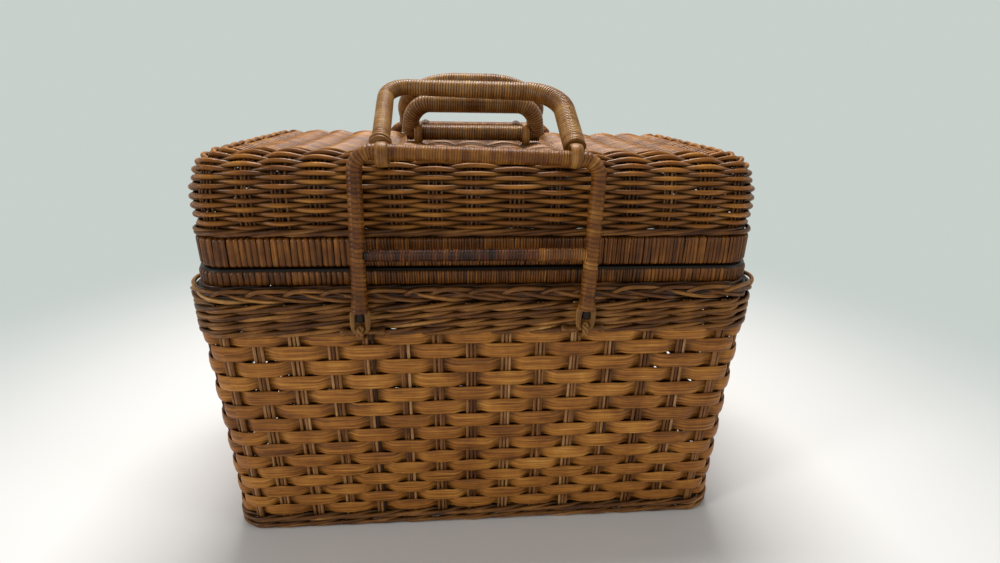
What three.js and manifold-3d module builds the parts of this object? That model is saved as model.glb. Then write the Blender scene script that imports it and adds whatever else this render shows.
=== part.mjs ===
// A rattan picnic hamper with a domed lid, two swing frames, two carrying handles and a ring handle.
// Millimetres, +Z up, X along the length, the front faces -Y, the origin under the middle of the foot.

import * as THREE from "three";
import { mergeVertices } from "three/addons/utils/BufferGeometryUtils.js";
import Module from "manifold-3d";

const wasm = await Module();
wasm.setup();

// Plan of the body at the top of its woven wall, and the taper down to the foot on each side.
const bodyLength = 465;
const bodyDepth = 235;
const cornerRadius = 33;
const wallTaper = 4;
const wallThickness = 7;

// Heights of the body's bands, from the foot up.
const footWaleHeight = 15;
const wallTopHeight = 200;
const topWaleHeight = 27;
const borderHeight = 12.7;
const bodyRimHeight = 13;
const lidRimHeight = 24.5;
const lidWaleHeight = 5.4;
const domeHeight = 59;

// How far each band stands out from the top of the wall, and how thick it is.
const footWaleProud = 2.2;
const footWaleThickness = 11;
const topWaleProud = 2.5;
const topWaleThickness = 12;
const borderThickness = 15;
const bodyRimInset = 6.5;
const rimThickness = 9.5;
const lidRimInset = 8.5;
const lidWaleInset = 10;
const domeInset = 9.5;
const domeFootInset = 2;
const domeShoulderInset = 2;
const domeThickness = 6;
const domeEdgeRadius = 25;
const domeSag = 3;

// The weave: groups of upright sticks round the body and the lid, rows of reed over and under
// them, and how deep the under crossings lie. On the top of the lid the rows run along its length.
const bodyStickGroups = 46;
const bodyReedRows = 15;
const bodyWeaveDepth = 4.5;
const bodyGroupX = -10;
const lidStickGroups = 44;
const lidFaceRows = 10;
const lidShoulderRows = 8;
const lidTopRows = 45;
const lidTopGroups = 13;
const lidTopInset = 3;
const lidWeaveDepth = 2.8;
const lidGroupX = -7.5;
const lidTurnRadius = 20;

// The base panel inside the foot wale.
const basePanelThickness = 7;
const basePanelLift = 1.5;

// Gaps between pieces that touch, between the two rims, and round pieces that turn.
const seatGap = 0.3;
const lidGap = 0.5;
const runningGap = 0.45;

// The swing frames: legs, top bar and the eyes that their legs end in. The pivots stand out from the
// front of the wall and above its top, the middle of each top bar lies near the height of the lid's
// top, and the cross bar above the foot of the lid rim.
const handleCentreX = -5;
const frameLegSpacing = 175;
const frameTubeRadius = 5.65;
const frameCornerRadius = 14;
const framePivotRise = 9;
const framePivotReach = 12.5;
const frontBarRise = -1.6;
const rearBarRise = 2.2;
const frameBarInset = 2.5;
const eyeWidth = 15;
const eyeLength = 22;
const eyeRodRadius = 2;
const crossBarRise = 15.2;
const crossBarRadius = 4.6;

// The knotted loops and anchor pins that hold the eyes.
const pinRadius = 2.6;
const pinLength = 34;
const pinDrop = 3;
const knotRodRadius = 1.7;

// The carrying handles, from the middle of the frame's top bar.
const gripLength = 88;
const gripLegSpacing = 140;
const gripTubeRadius = 6.9;
const frontGripCornerRadius = 22;
const rearGripCornerRadius = 40;
const frontGripAngle = 60;
const rearGripAngle = 57;
const loopThickness = 2.2;
const loopWidth = 9;

// The ring handle on the lid and its straps.
const ringLength = 117;
const ringHeight = 27;
const ringTubeRadius = 6.8;
const ringCornerRadius = 12;
const ringAngle = 20;
const ringMiddleY = -3.4;
const strapInset = 11;
const strapWidth = 7;
const strapThickness = 2;

// The two hinge loops at the back.
const hingeSpacing = 290;
const hingeRingRadius = 7;
const hingeRodRadius = 1.6;
const hingeAxisOut = 1;

// Shares of a band's height taken by its rounded edges, and of the corner radius kept by
// the tightest loops.
const edgeShare = 0.25;
const tightCornerShare = 0.25;

// Facets on round shapes.
const cornerSteps = 8;
const smallCornerSteps = 4;
const knotSteps = 8;
const domeInnerSteps = 3;
const tubeSides = 8;
const rodSides = 6;
const turnSteps = 18;
const frameSteps = 48;
const gripSteps = 30;
const ringSteps = 24;

const borderZ = wallTopHeight + topWaleHeight + seatGap;
const bodyRimZ = borderZ + borderHeight + seatGap;
const lidRimZ = bodyRimZ + bodyRimHeight + lidGap;
const lidWaleZ = lidRimZ + lidRimHeight + seatGap;
const domeZ = lidWaleZ + lidWaleHeight + seatGap;
const domeTopZ = domeZ + domeHeight;

const framePivotHeight = wallTopHeight + framePivotRise;
const framePivotOut = bodyDepth / 2 + framePivotReach;
const frameBarOut = bodyDepth / 2 - frameBarInset;
const crossBarHeight = lidRimZ + crossBarRise;

function material(hex, roughness) {
  return new THREE.MeshStandardMaterial({ color: new THREE.Color(hex), roughness, metalness: 0 });
}

// Points of a rounded rectangle in a plane, with a set number of steps in each corner.
function roundedLoop(length, depth, radius, steps) {
  const points = [];
  const corners = [[1, -1], [1, 1], [-1, 1], [-1, -1]];
  corners.forEach(([sideX, sideY], turn) => {
    const middleX = sideX * (length / 2 - radius);
    const middleY = sideY * (depth / 2 - radius);
    for (let step = 0; step <= steps; step += 1) {
      const angle = (turn - 1 + step / steps) * Math.PI / 2;
      points.push([middleX + radius * Math.cos(angle), middleY + radius * Math.sin(angle)]);
    }
  });
  return points;
}

function indexedGeometry(positions, indices) {
  const geometry = new THREE.BufferGeometry();
  geometry.setAttribute("position", new THREE.Float32BufferAttribute(positions, 3));
  geometry.setIndex(indices);
  return geometry;
}

// Joins neighbouring loops of the same number of points with two triangles for each side.
function joinLoops(indices, count, lower, upper) {
  for (let i = 0; i < count; i += 1) {
    const next = (i + 1) % count;
    const a = lower * count + i;
    const b = lower * count + next;
    const c = upper * count + next;
    const d = upper * count + i;
    indices.push(a, b, c, a, c, d);
  }
}

// Points of a tight belt round two circles whose middles lie on the X axis, either side of the origin.
function beltLoop(spacing, rightRadius, leftRadius, steps) {
  const points = [];
  const reach = Math.acos((leftRadius - rightRadius) / spacing);
  const turns = [
    [spacing / 2, rightRadius, 0, reach],
    [-spacing / 2, leftRadius, Math.PI, Math.PI - reach],
  ];
  for (const [middleX, radius, middleAngle, halfTurn] of turns) {
    for (let step = 0; step <= steps; step += 1) {
      const angle = middleAngle + (2 * step / steps - 1) * halfTurn;
      points.push([middleX + radius * Math.cos(angle), radius * Math.sin(angle)]);
    }
  }
  return points;
}

// A ring-shaped solid from loops of points. The loops follow a closed section that runs
// anticlockwise with the outside on the right.
function ringFromLoops(loops) {
  const indices = [];
  for (let k = 0; k < loops.length; k += 1) {
    joinLoops(indices, loops[0].length, k, (k + 1) % loops.length);
  }
  return indexedGeometry(loops.flat(2), indices);
}

// A closed section, given as [outward offset, height] pairs, carried round the loop that each
// offset gives.
function carryRound(section, loopAt) {
  return ringFromLoops(section.map(([out, height]) => (
    loopAt(out).map(([x, y]) => [x, y, height])
  )));
}

// A hoop: a section carried round a rounded rectangle.
function hoop(section, length, depth, radius, steps) {
  return carryRound(section, (out) => (
    roundedLoop(length + 2 * out, depth + 2 * out, radius + out, steps)
  ));
}

// A round section for a hoop, in the same order.
function roundSection(radius, sides) {
  const section = [];
  for (let k = 0; k < sides; k += 1) {
    const angle = 2 * Math.PI * k / sides;
    section.push([radius * Math.cos(angle), radius * Math.sin(angle)]);
  }
  return section;
}

// A band of a hoop with gently bulging faces.
function bandSection(outer, thickness, low, high, bulge) {
  const rise = high - low;
  return [
    [outer - thickness, low],
    [outer - bulge, low],
    [outer, low + rise * edgeShare],
    [outer, high - rise * edgeShare],
    [outer - bulge, high],
    [outer - thickness, high],
  ];
}

function toManifold(geometry) {
  const bare = geometry.clone();
  bare.deleteAttribute("normal");
  bare.deleteAttribute("uv");
  const merged = mergeVertices(bare, 1e-4);
  return new wasm.Manifold(new wasm.Mesh({
    numProp: 3,
    vertProperties: Float32Array.from(merged.attributes.position.array),
    triVerts: Uint32Array.from(merged.index.array),
  }));
}

function fromManifold(solid) {
  const mesh = solid.getMesh();
  return indexedGeometry(Array.from(mesh.vertProperties), Array.from(mesh.triVerts));
}

function subtractAll(geometry, cutters) {
  let solid = toManifold(geometry);
  for (const cutter of cutters) {
    solid = solid.subtract(toManifold(cutter));
  }
  return fromManifold(solid);
}

function addAll(geometries) {
  let solid = toManifold(geometries[0]);
  for (const geometry of geometries.slice(1)) {
    solid = solid.add(toManifold(geometry));
  }
  return fromManifold(solid);
}

// A path of two legs, two rounded corners and a bar, in the XZ plane, from leg foot to leg foot.
class HairpinCurve extends THREE.Curve {
  constructor(spacing, footZ, barZ, radius) {
    super();
    this.half = spacing / 2;
    this.footZ = footZ;
    this.barZ = barZ;
    this.radius = radius;
  }

  getPoint(t, target = new THREE.Vector3()) {
    const leg = this.barZ - this.radius - this.footZ;
    const arc = this.radius * Math.PI / 2;
    const bar = 2 * (this.half - this.radius);
    const total = 2 * leg + 2 * arc + bar;
    const mirrored = t > 1 / 2;
    const along = (mirrored ? 1 - t : t) * total;
    const side = mirrored ? 1 : -1;
    if (along <= leg) {
      return target.set(side * this.half, 0, this.footZ + along);
    }
    if (along <= leg + arc) {
      const angle = (along - leg) / this.radius;
      const inward = this.half - this.radius + this.radius * Math.cos(angle);
      return target.set(side * inward, 0, this.barZ - this.radius + this.radius * Math.sin(angle));
    }
    return target.set(side * (this.half - this.radius - (along - leg - arc)), 0, this.barZ);
  }
}

function circleShape(radius, sides) {
  const points = [];
  for (let k = 0; k < sides; k += 1) {
    const angle = 2 * Math.PI * (k + 1 / 2) / sides;
    points.push(new THREE.Vector2(radius * Math.cos(angle), radius * Math.sin(angle)));
  }
  return new THREE.Shape(points);
}

function tube(path, radius, steps, sides) {
  const options = { steps, extrudePath: path, bevelEnabled: false };
  return new THREE.ExtrudeGeometry(circleShape(radius, sides), options);
}

function rodAlongX(radius, length, sides) {
  const rod = new THREE.CylinderGeometry(radius, radius, length, sides);
  rod.rotateZ(Math.PI / 2);
  return rod;
}

const basket = new THREE.Group();

function place(parent, name, geometry, look) {
  const mesh = new THREE.Mesh(geometry, look);
  mesh.name = name;
  parent.add(mesh);
  return mesh;
}

// Offsets in the sections below are measured from the plan at the top of the wall.
function bodyHoop(section) {
  return hoop(section, bodyLength, bodyDepth, cornerRadius, cornerSteps);
}

function addBasePanel() {
  const inset = wallTaper - footWaleProud + footWaleThickness + seatGap;
  const radius = cornerRadius - inset;
  const outline = roundedLoop(bodyLength - 2 * inset, bodyDepth - 2 * inset, radius, cornerSteps);
  const shape = new THREE.Shape(outline.map(([x, y]) => new THREE.Vector2(x, y)));
  const panel = new THREE.ExtrudeGeometry(shape, { depth: basePanelThickness, bevelEnabled: false });
  panel.translate(0, 0, basePanelLift);
  place(basket, "base_panel", panel, material(0x8a5e34, 0.8));
}

function addFootWale() {
  const outer = footWaleProud - wallTaper;
  const section = bandSection(outer, footWaleThickness, 0, footWaleHeight, footWaleProud);
  place(basket, "foot_wale", bodyHoop(section), material(0x7a4e28, 0.7));
}

const straightLength = bodyLength - 2 * cornerRadius;
const straightDepth = bodyDepth - 2 * cornerRadius;
const planCorners = [[1, -1], [1, 1], [-1, 1], [-1, -1]];

// One loop of a woven shell, with a point at each crossing and one between. The crossings lie at
// even steps along the plan with corners of the radius turn, the first of them groupX from the middle
// of the front. The line of the shell has its offset out, its height z and its upward angle there.
// On a row of reed each point sinks by half the weave's depth, less at an over crossing and more at
// an under one. Without a row every point sinks by half.
function wovenLoop(line, groups, groupX, turn, depth, row) {
  const [out, z, rise] = line;
  const corner = turn * Math.PI / 2;
  const sides = [straightLength, corner, straightDepth, corner];
  const total = 2 * (straightLength + straightDepth + 2 * corner);
  const points = [];
  for (let k = 0; k < 2 * groups; k += 1) {
    let along = (straightLength / 2 + groupX + total * k / (2 * groups) + total) % total;
    let side = 0;
    while (along > sides[side % 4]) {
      along -= sides[side % 4];
      side += 1;
    }
    const share = along / sides[side % 4];
    const quarter = Math.floor(side / 2);
    const atCorner = side % 2 === 1;
    const wave = row === undefined || k % 2 === 1 ? 0 : 1 - 2 * ((k / 2 + row) % 2);
    const sunk = depth * (1 - wave) / 2;
    const pointOut = out - sunk * Math.cos(rise);
    const radius = Math.max(cornerRadius + pointOut, cornerRadius * tightCornerShare);
    const halfX = bodyLength / 2 + pointOut - radius;
    const halfY = bodyDepth / 2 + pointOut - radius;
    const [toX, toY] = planCorners[quarter];
    const [fromX, fromY] = atCorner ? [toX, toY] : planCorners[(quarter + 3) % 4];
    const angle = (quarter - 1 + (atCorner ? share : 0)) * Math.PI / 2;
    points.push([
      halfX * (fromX + (toX - fromX) * share) + radius * Math.cos(angle),
      halfY * (fromY + (toY - fromY) * share) + radius * Math.sin(angle),
      z - sunk * Math.sin(rise),
    ]);
  }
  return points;
}

// The wall: rows of flat reed outside, plain inside.
function addWall() {
  const low = footWaleHeight + seatGap;
  const high = wallTopHeight - seatGap;
  function loopAt(share, inset, depth, row) {
    const line = [-wallTaper * (1 - share) - inset, low + (high - low) * share, 0];
    return wovenLoop(line, bodyStickGroups, bodyGroupX, cornerRadius, depth, row);
  }
  const loops = [loopAt(0, wallThickness, 0), loopAt(0, 0, bodyWeaveDepth)];
  for (let row = 0; row < bodyReedRows; row += 1) {
    loops.push(loopAt((row + 1 / 2) / bodyReedRows, 0, bodyWeaveDepth, row));
  }
  loops.push(loopAt(1, 0, bodyWeaveDepth), loopAt(1, wallThickness, 0));
  place(basket, "body_wall", ringFromLoops(loops), material(0x966430, 0.6));
}

// Outward distance of the hinge axis and height between the two rims.
const hingeAxisY = bodyDepth / 2 - bodyRimInset + hingeAxisOut;
const hingeAxisZ = lidRimZ - lidGap / 2;

function hingeRing(rodRadius, x) {
  const ring = new THREE.TorusGeometry(hingeRingRadius, rodRadius, rodSides, turnSteps);
  ring.rotateY(Math.PI / 2);
  ring.translate(x, hingeAxisY, hingeAxisZ);
  return ring;
}

const hingePlaces = [["left", -hingeSpacing / 2], ["right", hingeSpacing / 2]];
const hingeCuts = hingePlaces.map(([, x]) => hingeRing(hingeRodRadius + runningGap, x));

// A knotted loop in the YZ plane: it goes round the bottom of an eye and round the anchor pin.
const pinOut = bodyDepth / 2 + topWaleProud + seatGap + pinRadius;
const knotReach = Math.hypot(framePivotOut - pinOut, pinDrop);
const knotPinRadius = pinRadius + runningGap + knotRodRadius;
const knotEyeRadius = eyeRodRadius + runningGap + knotRodRadius;

function knotLoop(rodRadius, x, side) {
  const section = roundSection(rodRadius, rodSides);
  const radii = [knotPinRadius, knotEyeRadius];
  const [near, far] = side > 0 ? radii : radii.reverse();
  const loop = carryRound(section, (out) => beltLoop(knotReach, far + out, near + out, knotSteps));
  loop.rotateX(Math.PI / 2);
  loop.rotateZ(Math.PI / 2);
  loop.rotateX(side * Math.atan2(pinDrop, framePivotOut - pinOut));
  const middleOut = (framePivotOut + pinOut) / 2;
  loop.translate(x, side * middleOut, framePivotHeight - pinDrop / 2);
  return loop;
}

const leftLegX = handleCentreX - frameLegSpacing / 2;
const rightLegX = handleCentreX + frameLegSpacing / 2;
const legPlaces = [["left", leftLegX], ["right", rightLegX]];
const basketEnds = [["front", -1], ["rear", 1]];

function addTopBands() {
  const waleTop = wallTopHeight + topWaleHeight;
  const waleSection = bandSection(topWaleProud, topWaleThickness, wallTopHeight, waleTop, topWaleProud);
  const knotCuts = [];
  for (const [, side] of basketEnds) {
    for (const [, x] of legPlaces) {
      knotCuts.push(knotLoop(knotRodRadius + seatGap, x, side));
    }
  }
  place(basket, "top_wale", subtractAll(bodyHoop(waleSection), knotCuts), material(0x7d5029, 0.65));
  const borderTop = borderZ + borderHeight;
  const borderSection = bandSection(topWaleProud, borderThickness, borderZ, borderTop, topWaleProud);
  place(basket, "folded_border", bodyHoop(borderSection), material(0x7d5029, 0.65));
  const rimTop = bodyRimZ + bodyRimHeight;
  const rimSection = bandSection(-bodyRimInset, rimThickness, bodyRimZ, rimTop, seatGap);
  place(basket, "body_rim", subtractAll(bodyHoop(rimSection), hingeCuts), material(0x5c3a1e, 0.5));
}

function addHingeLoops() {
  for (const [label, x] of hingePlaces) {
    place(basket, `hinge_loop_${label}`, hingeRing(hingeRodRadius, x), material(0x8f6234, 0.5));
  }
}

function addKnotsAndPins() {
  for (const [end, side] of basketEnds) {
    for (const [label, x] of legPlaces) {
      const pin = rodAlongX(pinRadius, pinLength, tubeSides);
      pin.translate(x, side * pinOut, framePivotHeight - pinDrop);
      place(basket, `${end}_${label}_anchor_pin`, pin, material(0x9a7044, 0.6));
      place(basket, `${end}_${label}_knot`, knotLoop(knotRodRadius, x, side), material(0xa07848, 0.6));
    }
  }
}

function addLidBands() {
  const rimTop = lidRimZ + lidRimHeight;
  const rimSection = bandSection(-lidRimInset, rimThickness, lidRimZ, rimTop, seatGap);
  place(basket, "lid_rim", subtractAll(bodyHoop(rimSection), hingeCuts), material(0x66431f, 0.5));
  const setBack = lidWaleInset - lidRimInset;
  const waleTop = lidWaleZ + lidWaleHeight;
  const waleSection = bandSection(-lidWaleInset, rimThickness - setBack, lidWaleZ, waleTop, setBack);
  place(basket, "lid_wale", bodyHoop(waleSection), material(0x4a2f18, 0.6));
}

// The dome's face and rounded shoulder, as offset, height and upward angle. The share runs from 0
// to 1 up the face and from 1 to 2 round the shoulder.
function domeLine(share, shift) {
  const shoulderZ = domeTopZ - domeEdgeRadius;
  if (share <= 1) {
    const footInset = domeFootInset * Math.max(1 - 2 * share, 0);
    const shoulderInset = domeShoulderInset * Math.max(2 * share - 1, 0);
    const out = -domeInset - footInset - shoulderInset - shift;
    return [out, domeZ + (shoulderZ - domeZ) * share, 0];
  }
  const rise = (share - 1) * Math.PI / 2;
  const arcRadius = domeEdgeRadius - shift;
  const inward = domeEdgeRadius - arcRadius * Math.cos(rise);
  return [-domeInset - domeShoulderInset - inward, shoulderZ + arcRadius * Math.sin(rise), rise];
}

// Joins an outer ring of points to an inner one that has another number of points, in step with
// how far round each of them is.
function zipLoops(indices, outer, inner, positions) {
  function turnsOf(loop) {
    return loop.map((index) => {
      const angle = Math.atan2(positions[3 * index + 1] * bodyLength, positions[3 * index] * bodyDepth);
      return (angle / (2 * Math.PI) + 1) % 1;
    });
  }
  function fromFirst(loop) {
    const turns = turnsOf(loop);
    const first = turns.indexOf(Math.min(...turns));
    return [...loop.slice(first), ...loop.slice(0, first)];
  }
  const a = fromFirst(outer);
  const b = fromFirst(inner);
  const turnA = [...turnsOf(a), 1];
  const turnB = [...turnsOf(b), 1];
  let i = 0;
  let j = 0;
  while (i < a.length || j < b.length) {
    const atA = a[i % a.length];
    const atB = b[j % b.length];
    if (j === b.length || (i < a.length && turnA[i + 1] <= turnB[j + 1])) {
      indices.push(atA, a[(i + 1) % a.length], atB);
      i += 1;
    } else {
      indices.push(atA, b[(j + 1) % b.length], atB);
      j += 1;
    }
  }
}

// The dome: woven loops go up the outside to the top, where a grid of rows and columns sags to the
// middle. Inside it is plain.
function addDome() {
  function loopAt(share, shift, depth, row) {
    const line = domeLine(share, shift);
    return wovenLoop(line, lidStickGroups, lidGroupX, lidTurnRadius, depth, row);
  }
  const inside = [];
  for (let step = domeInnerSteps; step >= 0; step -= 1) {
    inside.push(loopAt(1 + step / domeInnerSteps, domeThickness, 0));
  }
  inside.push(loopAt(0, domeThickness, 0));
  const outside = [loopAt(0, 0, lidWeaveDepth)];
  for (let row = 0; row < lidFaceRows; row += 1) {
    outside.push(loopAt((row + 1 / 2) / lidFaceRows, 0, lidWeaveDepth, row));
  }
  for (let row = 0; row < lidShoulderRows; row += 1) {
    const share = 1 + (row + 1 / 2) / lidShoulderRows;
    outside.push(loopAt(share, 0, lidWeaveDepth, lidFaceRows + row));
  }
  outside.push(loopAt(2, 0, lidWeaveDepth));
  const loops = [...inside, ...outside];
  const positions = loops.flat(2);
  const indices = [];
  const count = 2 * lidStickGroups;
  for (let k = 0; k + 1 < loops.length; k += 1) {
    joinLoops(indices, count, k, k + 1);
  }
  const underPoint = positions.length / 3;
  positions.push(0, 0, domeTopZ - domeSag - domeThickness);
  for (let i = 0; i < count; i += 1) {
    indices.push(i, underPoint, (i + 1) % count);
  }
  const grid = [];
  const edge = domeInset + domeShoulderInset + domeEdgeRadius + lidTopInset;
  const halfX = bodyLength / 2 - edge;
  const halfY = bodyDepth / 2 - edge;
  for (let row = 0; row < lidTopRows; row += 1) {
    const line = [];
    for (let column = 0; column < lidTopGroups + 2; column += 1) {
      const shareX = 2 * column / (lidTopGroups + 1) - 1;
      const shareY = 2 * row / (lidTopRows - 1) - 1;
      const sag = domeSag * (1 - Math.max(Math.abs(shareX), Math.abs(shareY)));
      const sunk = lidWeaveDepth * ((column + row) % 2);
      line.push(positions.length / 3);
      positions.push(halfX * shareX, halfY * shareY, domeTopZ - sag - sunk);
    }
    grid.push(line);
  }
  for (let row = 0; row + 1 < grid.length; row += 1) {
    for (let column = 0; column + 1 < grid[row].length; column += 1) {
      const [a, b] = [grid[row][column], grid[row][column + 1]];
      const [d, c] = [grid[row + 1][column], grid[row + 1][column + 1]];
      indices.push(a, b, c, a, c, d);
    }
  }
  const last = lidTopGroups + 1;
  const border = [
    ...grid[0].slice(0, last),
    ...grid.slice(0, -1).map((line) => line[last]),
    ...grid[lidTopRows - 1].slice(1).reverse(),
    ...grid.slice(1).map((line) => line[0]).reverse(),
  ];
  const topLoop = loops[0].map((point, i) => (loops.length - 1) * count + i);
  zipLoops(indices, topLoop, border, positions);
  place(basket, "lid_dome", indexedGeometry(positions, indices), material(0x8c5c2c, 0.6));
}

function eyeGeometry(x) {
  const width = eyeWidth - 2 * eyeRodRadius;
  const length = eyeLength - 2 * eyeRodRadius;
  const section = roundSection(eyeRodRadius, rodSides);
  const eye = hoop(section, width, length, width / 2 - seatGap, smallCornerSteps);
  eye.rotateX(Math.PI / 2);
  eye.translate(x, 0, eyeLength / 2 - eyeRodRadius);
  return eye;
}

// Each frame leans in from its pivots: a group at the pivot turns the frame about X.
function addFrame(end, side, barHeight) {
  const rise = barHeight - framePivotHeight;
  const frameLegLength = Math.hypot(rise, framePivotOut - frameBarOut);
  const frameLean = Math.atan2(framePivotOut - frameBarOut, rise);
  const group = new THREE.Group();
  group.position.set(handleCentreX, side * framePivotOut, framePivotHeight);
  group.rotation.x = side * frameLean;
  basket.add(group);
  const legFoot = eyeLength - 2 * eyeRodRadius - eyeRodRadius;
  const path = new HairpinCurve(frameLegSpacing, legFoot, frameLegLength, frameCornerRadius);
  const body = tube(path, frameTubeRadius, frameSteps, tubeSides);
  const frame = addAll([body, eyeGeometry(-frameLegSpacing / 2), eyeGeometry(frameLegSpacing / 2)]);
  place(group, `${end}_swing_frame`, frame, material(0xa57d4b, 0.55));
  const barLength = frameLegSpacing - 2 * frameTubeRadius - 2 * seatGap;
  const crossBar = rodAlongX(crossBarRadius, barLength, tubeSides);
  const crossBarAlong = (crossBarHeight - framePivotHeight) / Math.cos(frameLean);
  crossBar.translate(0, 0, crossBarAlong);
  place(group, `${end}_cross_bar`, crossBar, material(0x4a2a12, 0.35));
}

// A carrying handle turns about the top bar of its frame. Its legs end at the loops round that bar.
function addGrip(end, side, barHeight, angle, cornerRadius) {
  const group = new THREE.Group();
  group.position.set(handleCentreX, side * frameBarOut, barHeight);
  group.rotation.x = side * THREE.MathUtils.degToRad(angle);
  basket.add(group);
  const loopInner = frameTubeRadius + runningGap;
  const loopOuter = loopInner + loopThickness;
  const path = new HairpinCurve(gripLegSpacing, loopOuter + seatGap, gripLength, cornerRadius);
  const grip = tube(path, gripTubeRadius, gripSteps, tubeSides);
  place(group, `${end}_carry_handle`, grip, material(0xb08a56, 0.55));
  for (const [label, x] of [["left", -gripLegSpacing / 2], ["right", gripLegSpacing / 2]]) {
    const profile = [
      new THREE.Vector2(loopInner, -loopWidth / 2),
      new THREE.Vector2(loopOuter, -loopWidth / 2),
      new THREE.Vector2(loopOuter, loopWidth / 2),
      new THREE.Vector2(loopInner, loopWidth / 2),
      new THREE.Vector2(loopInner, -loopWidth / 2),
    ];
    const loop = new THREE.LatheGeometry(profile, turnSteps);
    loop.rotateZ(Math.PI / 2);
    loop.translate(x, 0, 0);
    place(group, `${end}_${label}_handle_loop`, loop, material(0xa8824f, 0.55));
  }
}

// The ring handle leans forward in its straps. Its ends just clear the top, which sags evenly
// to the middle.
const domeTopHalfLength = bodyLength / 2 - domeInset - domeShoulderInset - domeEdgeRadius;
const ringEndShare = (ringLength / 2 + ringTubeRadius) / domeTopHalfLength;
const ringAxisZ = domeTopZ - domeSag * (1 - ringEndShare) + seatGap + ringTubeRadius;

function addRingHandle() {
  const group = new THREE.Group();
  group.position.set(handleCentreX, ringMiddleY, ringAxisZ);
  group.rotation.x = THREE.MathUtils.degToRad(ringAngle);
  basket.add(group);
  const path = new HairpinCurve(ringLength, 0, ringHeight, ringCornerRadius);
  const lowerBar = rodAlongX(ringTubeRadius, ringLength, tubeSides);
  const pieces = [tube(path, ringTubeRadius, ringSteps, tubeSides), lowerBar];
  for (const side of [-1, 1]) {
    const corner = new THREE.SphereGeometry(ringTubeRadius, tubeSides, tubeSides / 2);
    corner.translate(side * ringLength / 2, 0, 0);
    pieces.push(corner);
  }
  place(group, "lid_ring_handle", addAll(pieces), material(0x9c7140, 0.55));
}

// A strap is a band bent over the lower bar of the ring handle, with both ends down on the lid.
function addStraps() {
  const inner = ringTubeRadius + runningGap;
  const outer = inner + strapThickness;
  const footZ = -ringTubeRadius;
  const shape = new THREE.Shape();
  shape.moveTo(outer, footZ);
  shape.lineTo(outer, 0);
  shape.absarc(0, 0, outer, 0, Math.PI, false);
  shape.lineTo(-outer, footZ);
  shape.lineTo(-inner, footZ);
  shape.lineTo(-inner, 0);
  shape.absarc(0, 0, inner, Math.PI, 0, true);
  shape.lineTo(inner, footZ);
  shape.closePath();
  for (const [label, side] of [["left", -1], ["right", 1]]) {
    const options = { depth: strapWidth, bevelEnabled: false, curveSegments: rodSides };
    const strap = new THREE.ExtrudeGeometry(shape, options);
    strap.rotateX(Math.PI / 2);
    strap.rotateZ(Math.PI / 2);
    const strapX = handleCentreX + side * (ringLength / 2 - strapInset);
    strap.translate(strapX - strapWidth / 2, ringMiddleY, ringAxisZ);
    place(basket, `ring_strap_${label}`, strap, material(0x8a6238, 0.55));
  }
}

addBasePanel();
addFootWale();
addWall();
addTopBands();
addHingeLoops();
addKnotsAndPins();
addLidBands();
addDome();
addFrame("front", -1, domeTopZ + frontBarRise);
addFrame("rear", 1, domeTopZ + rearBarRise);
addGrip("front", -1, domeTopZ + frontBarRise, frontGripAngle, frontGripCornerRadius);
addGrip("rear", 1, domeTopZ + rearBarRise, rearGripAngle, rearGripCornerRadius);
addRingHandle();
addStraps();

export default basket;
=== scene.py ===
"""A rattan picnic hamper with a domed lid: its woven, twisted and wrapped surfaces, materials and stage."""

import math
from collections import namedtuple

import bmesh
import bpy
import numpy as np
from bpy.props import FloatProperty, FloatVectorProperty, PointerProperty
from mathutils import Matrix, Vector


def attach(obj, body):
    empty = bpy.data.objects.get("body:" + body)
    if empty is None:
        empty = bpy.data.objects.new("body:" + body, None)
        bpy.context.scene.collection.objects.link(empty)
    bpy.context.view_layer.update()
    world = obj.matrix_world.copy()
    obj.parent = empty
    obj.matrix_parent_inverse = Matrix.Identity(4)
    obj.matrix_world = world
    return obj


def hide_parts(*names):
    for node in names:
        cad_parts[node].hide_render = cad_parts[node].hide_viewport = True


bl_info = {
    "name": "Rattan picnic hamper",
    "version": (1, 0, 0),
    "blender": (4, 5, 0),
    "location": "3D View > Sidebar > Hamper",
    "description": "Weaves, wraps and finishes a rattan picnic hamper round its fixed frame",
    "category": "Object",
}

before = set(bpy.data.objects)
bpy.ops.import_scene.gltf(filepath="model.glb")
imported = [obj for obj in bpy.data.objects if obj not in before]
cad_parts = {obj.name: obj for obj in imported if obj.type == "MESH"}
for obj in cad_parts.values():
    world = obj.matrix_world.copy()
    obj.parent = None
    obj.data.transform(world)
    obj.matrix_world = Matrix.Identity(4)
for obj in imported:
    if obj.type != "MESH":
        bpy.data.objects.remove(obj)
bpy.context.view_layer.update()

# Plan of the body at the top of its wall, in millimetres. The stops are the middle of the front and
# both ends of each corner, as shares of the corners' places.
HALF_LENGTH = 232.5
HALF_DEPTH = 117.5
CORNER_RADIUS = 33.0
LEAST_RADIUS = 10.0
CORNER_X = HALF_LENGTH - CORNER_RADIUS
CORNER_Y = HALF_DEPTH - CORNER_RADIUS
PLAN_STOPS = np.array([
    (0, -1), (1, -1), (1, -1), (1, 1), (1, 1), (-1, 1), (-1, 1), (-1, -1), (-1, -1), (0, -1)])

# The body: heights of its bands, the wall's taper down to the foot, the middle and the reach of its
# weave, the ends of its sticks, where the core of the lid's rim begins and that of the body's rim
# ends, and the hinges. All in millimetres.
FOOT_TOP = 15.0
WALL_TOP = 200.0
WALL_TAPER = 4.0
WALL_MIDDLE = 3.5
WALL_REACH = 2.75
STICK_ENDS = (7, 226)
FOOT_WALE_ROWS = (4.1, 10.9)
TOP_WALE_ROWS = (203.2, 210.0, 216.8, 223.5)
BODY_RIM = (240.3, 252.4)
BODY_RIM_INSET = 6.5
RIM_THICKNESS = 9.5
CORE_MEETING = (252.6, 255.3)
HINGE_X = 145
HINGE_MIDDLE = (112, 253.55)

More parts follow.
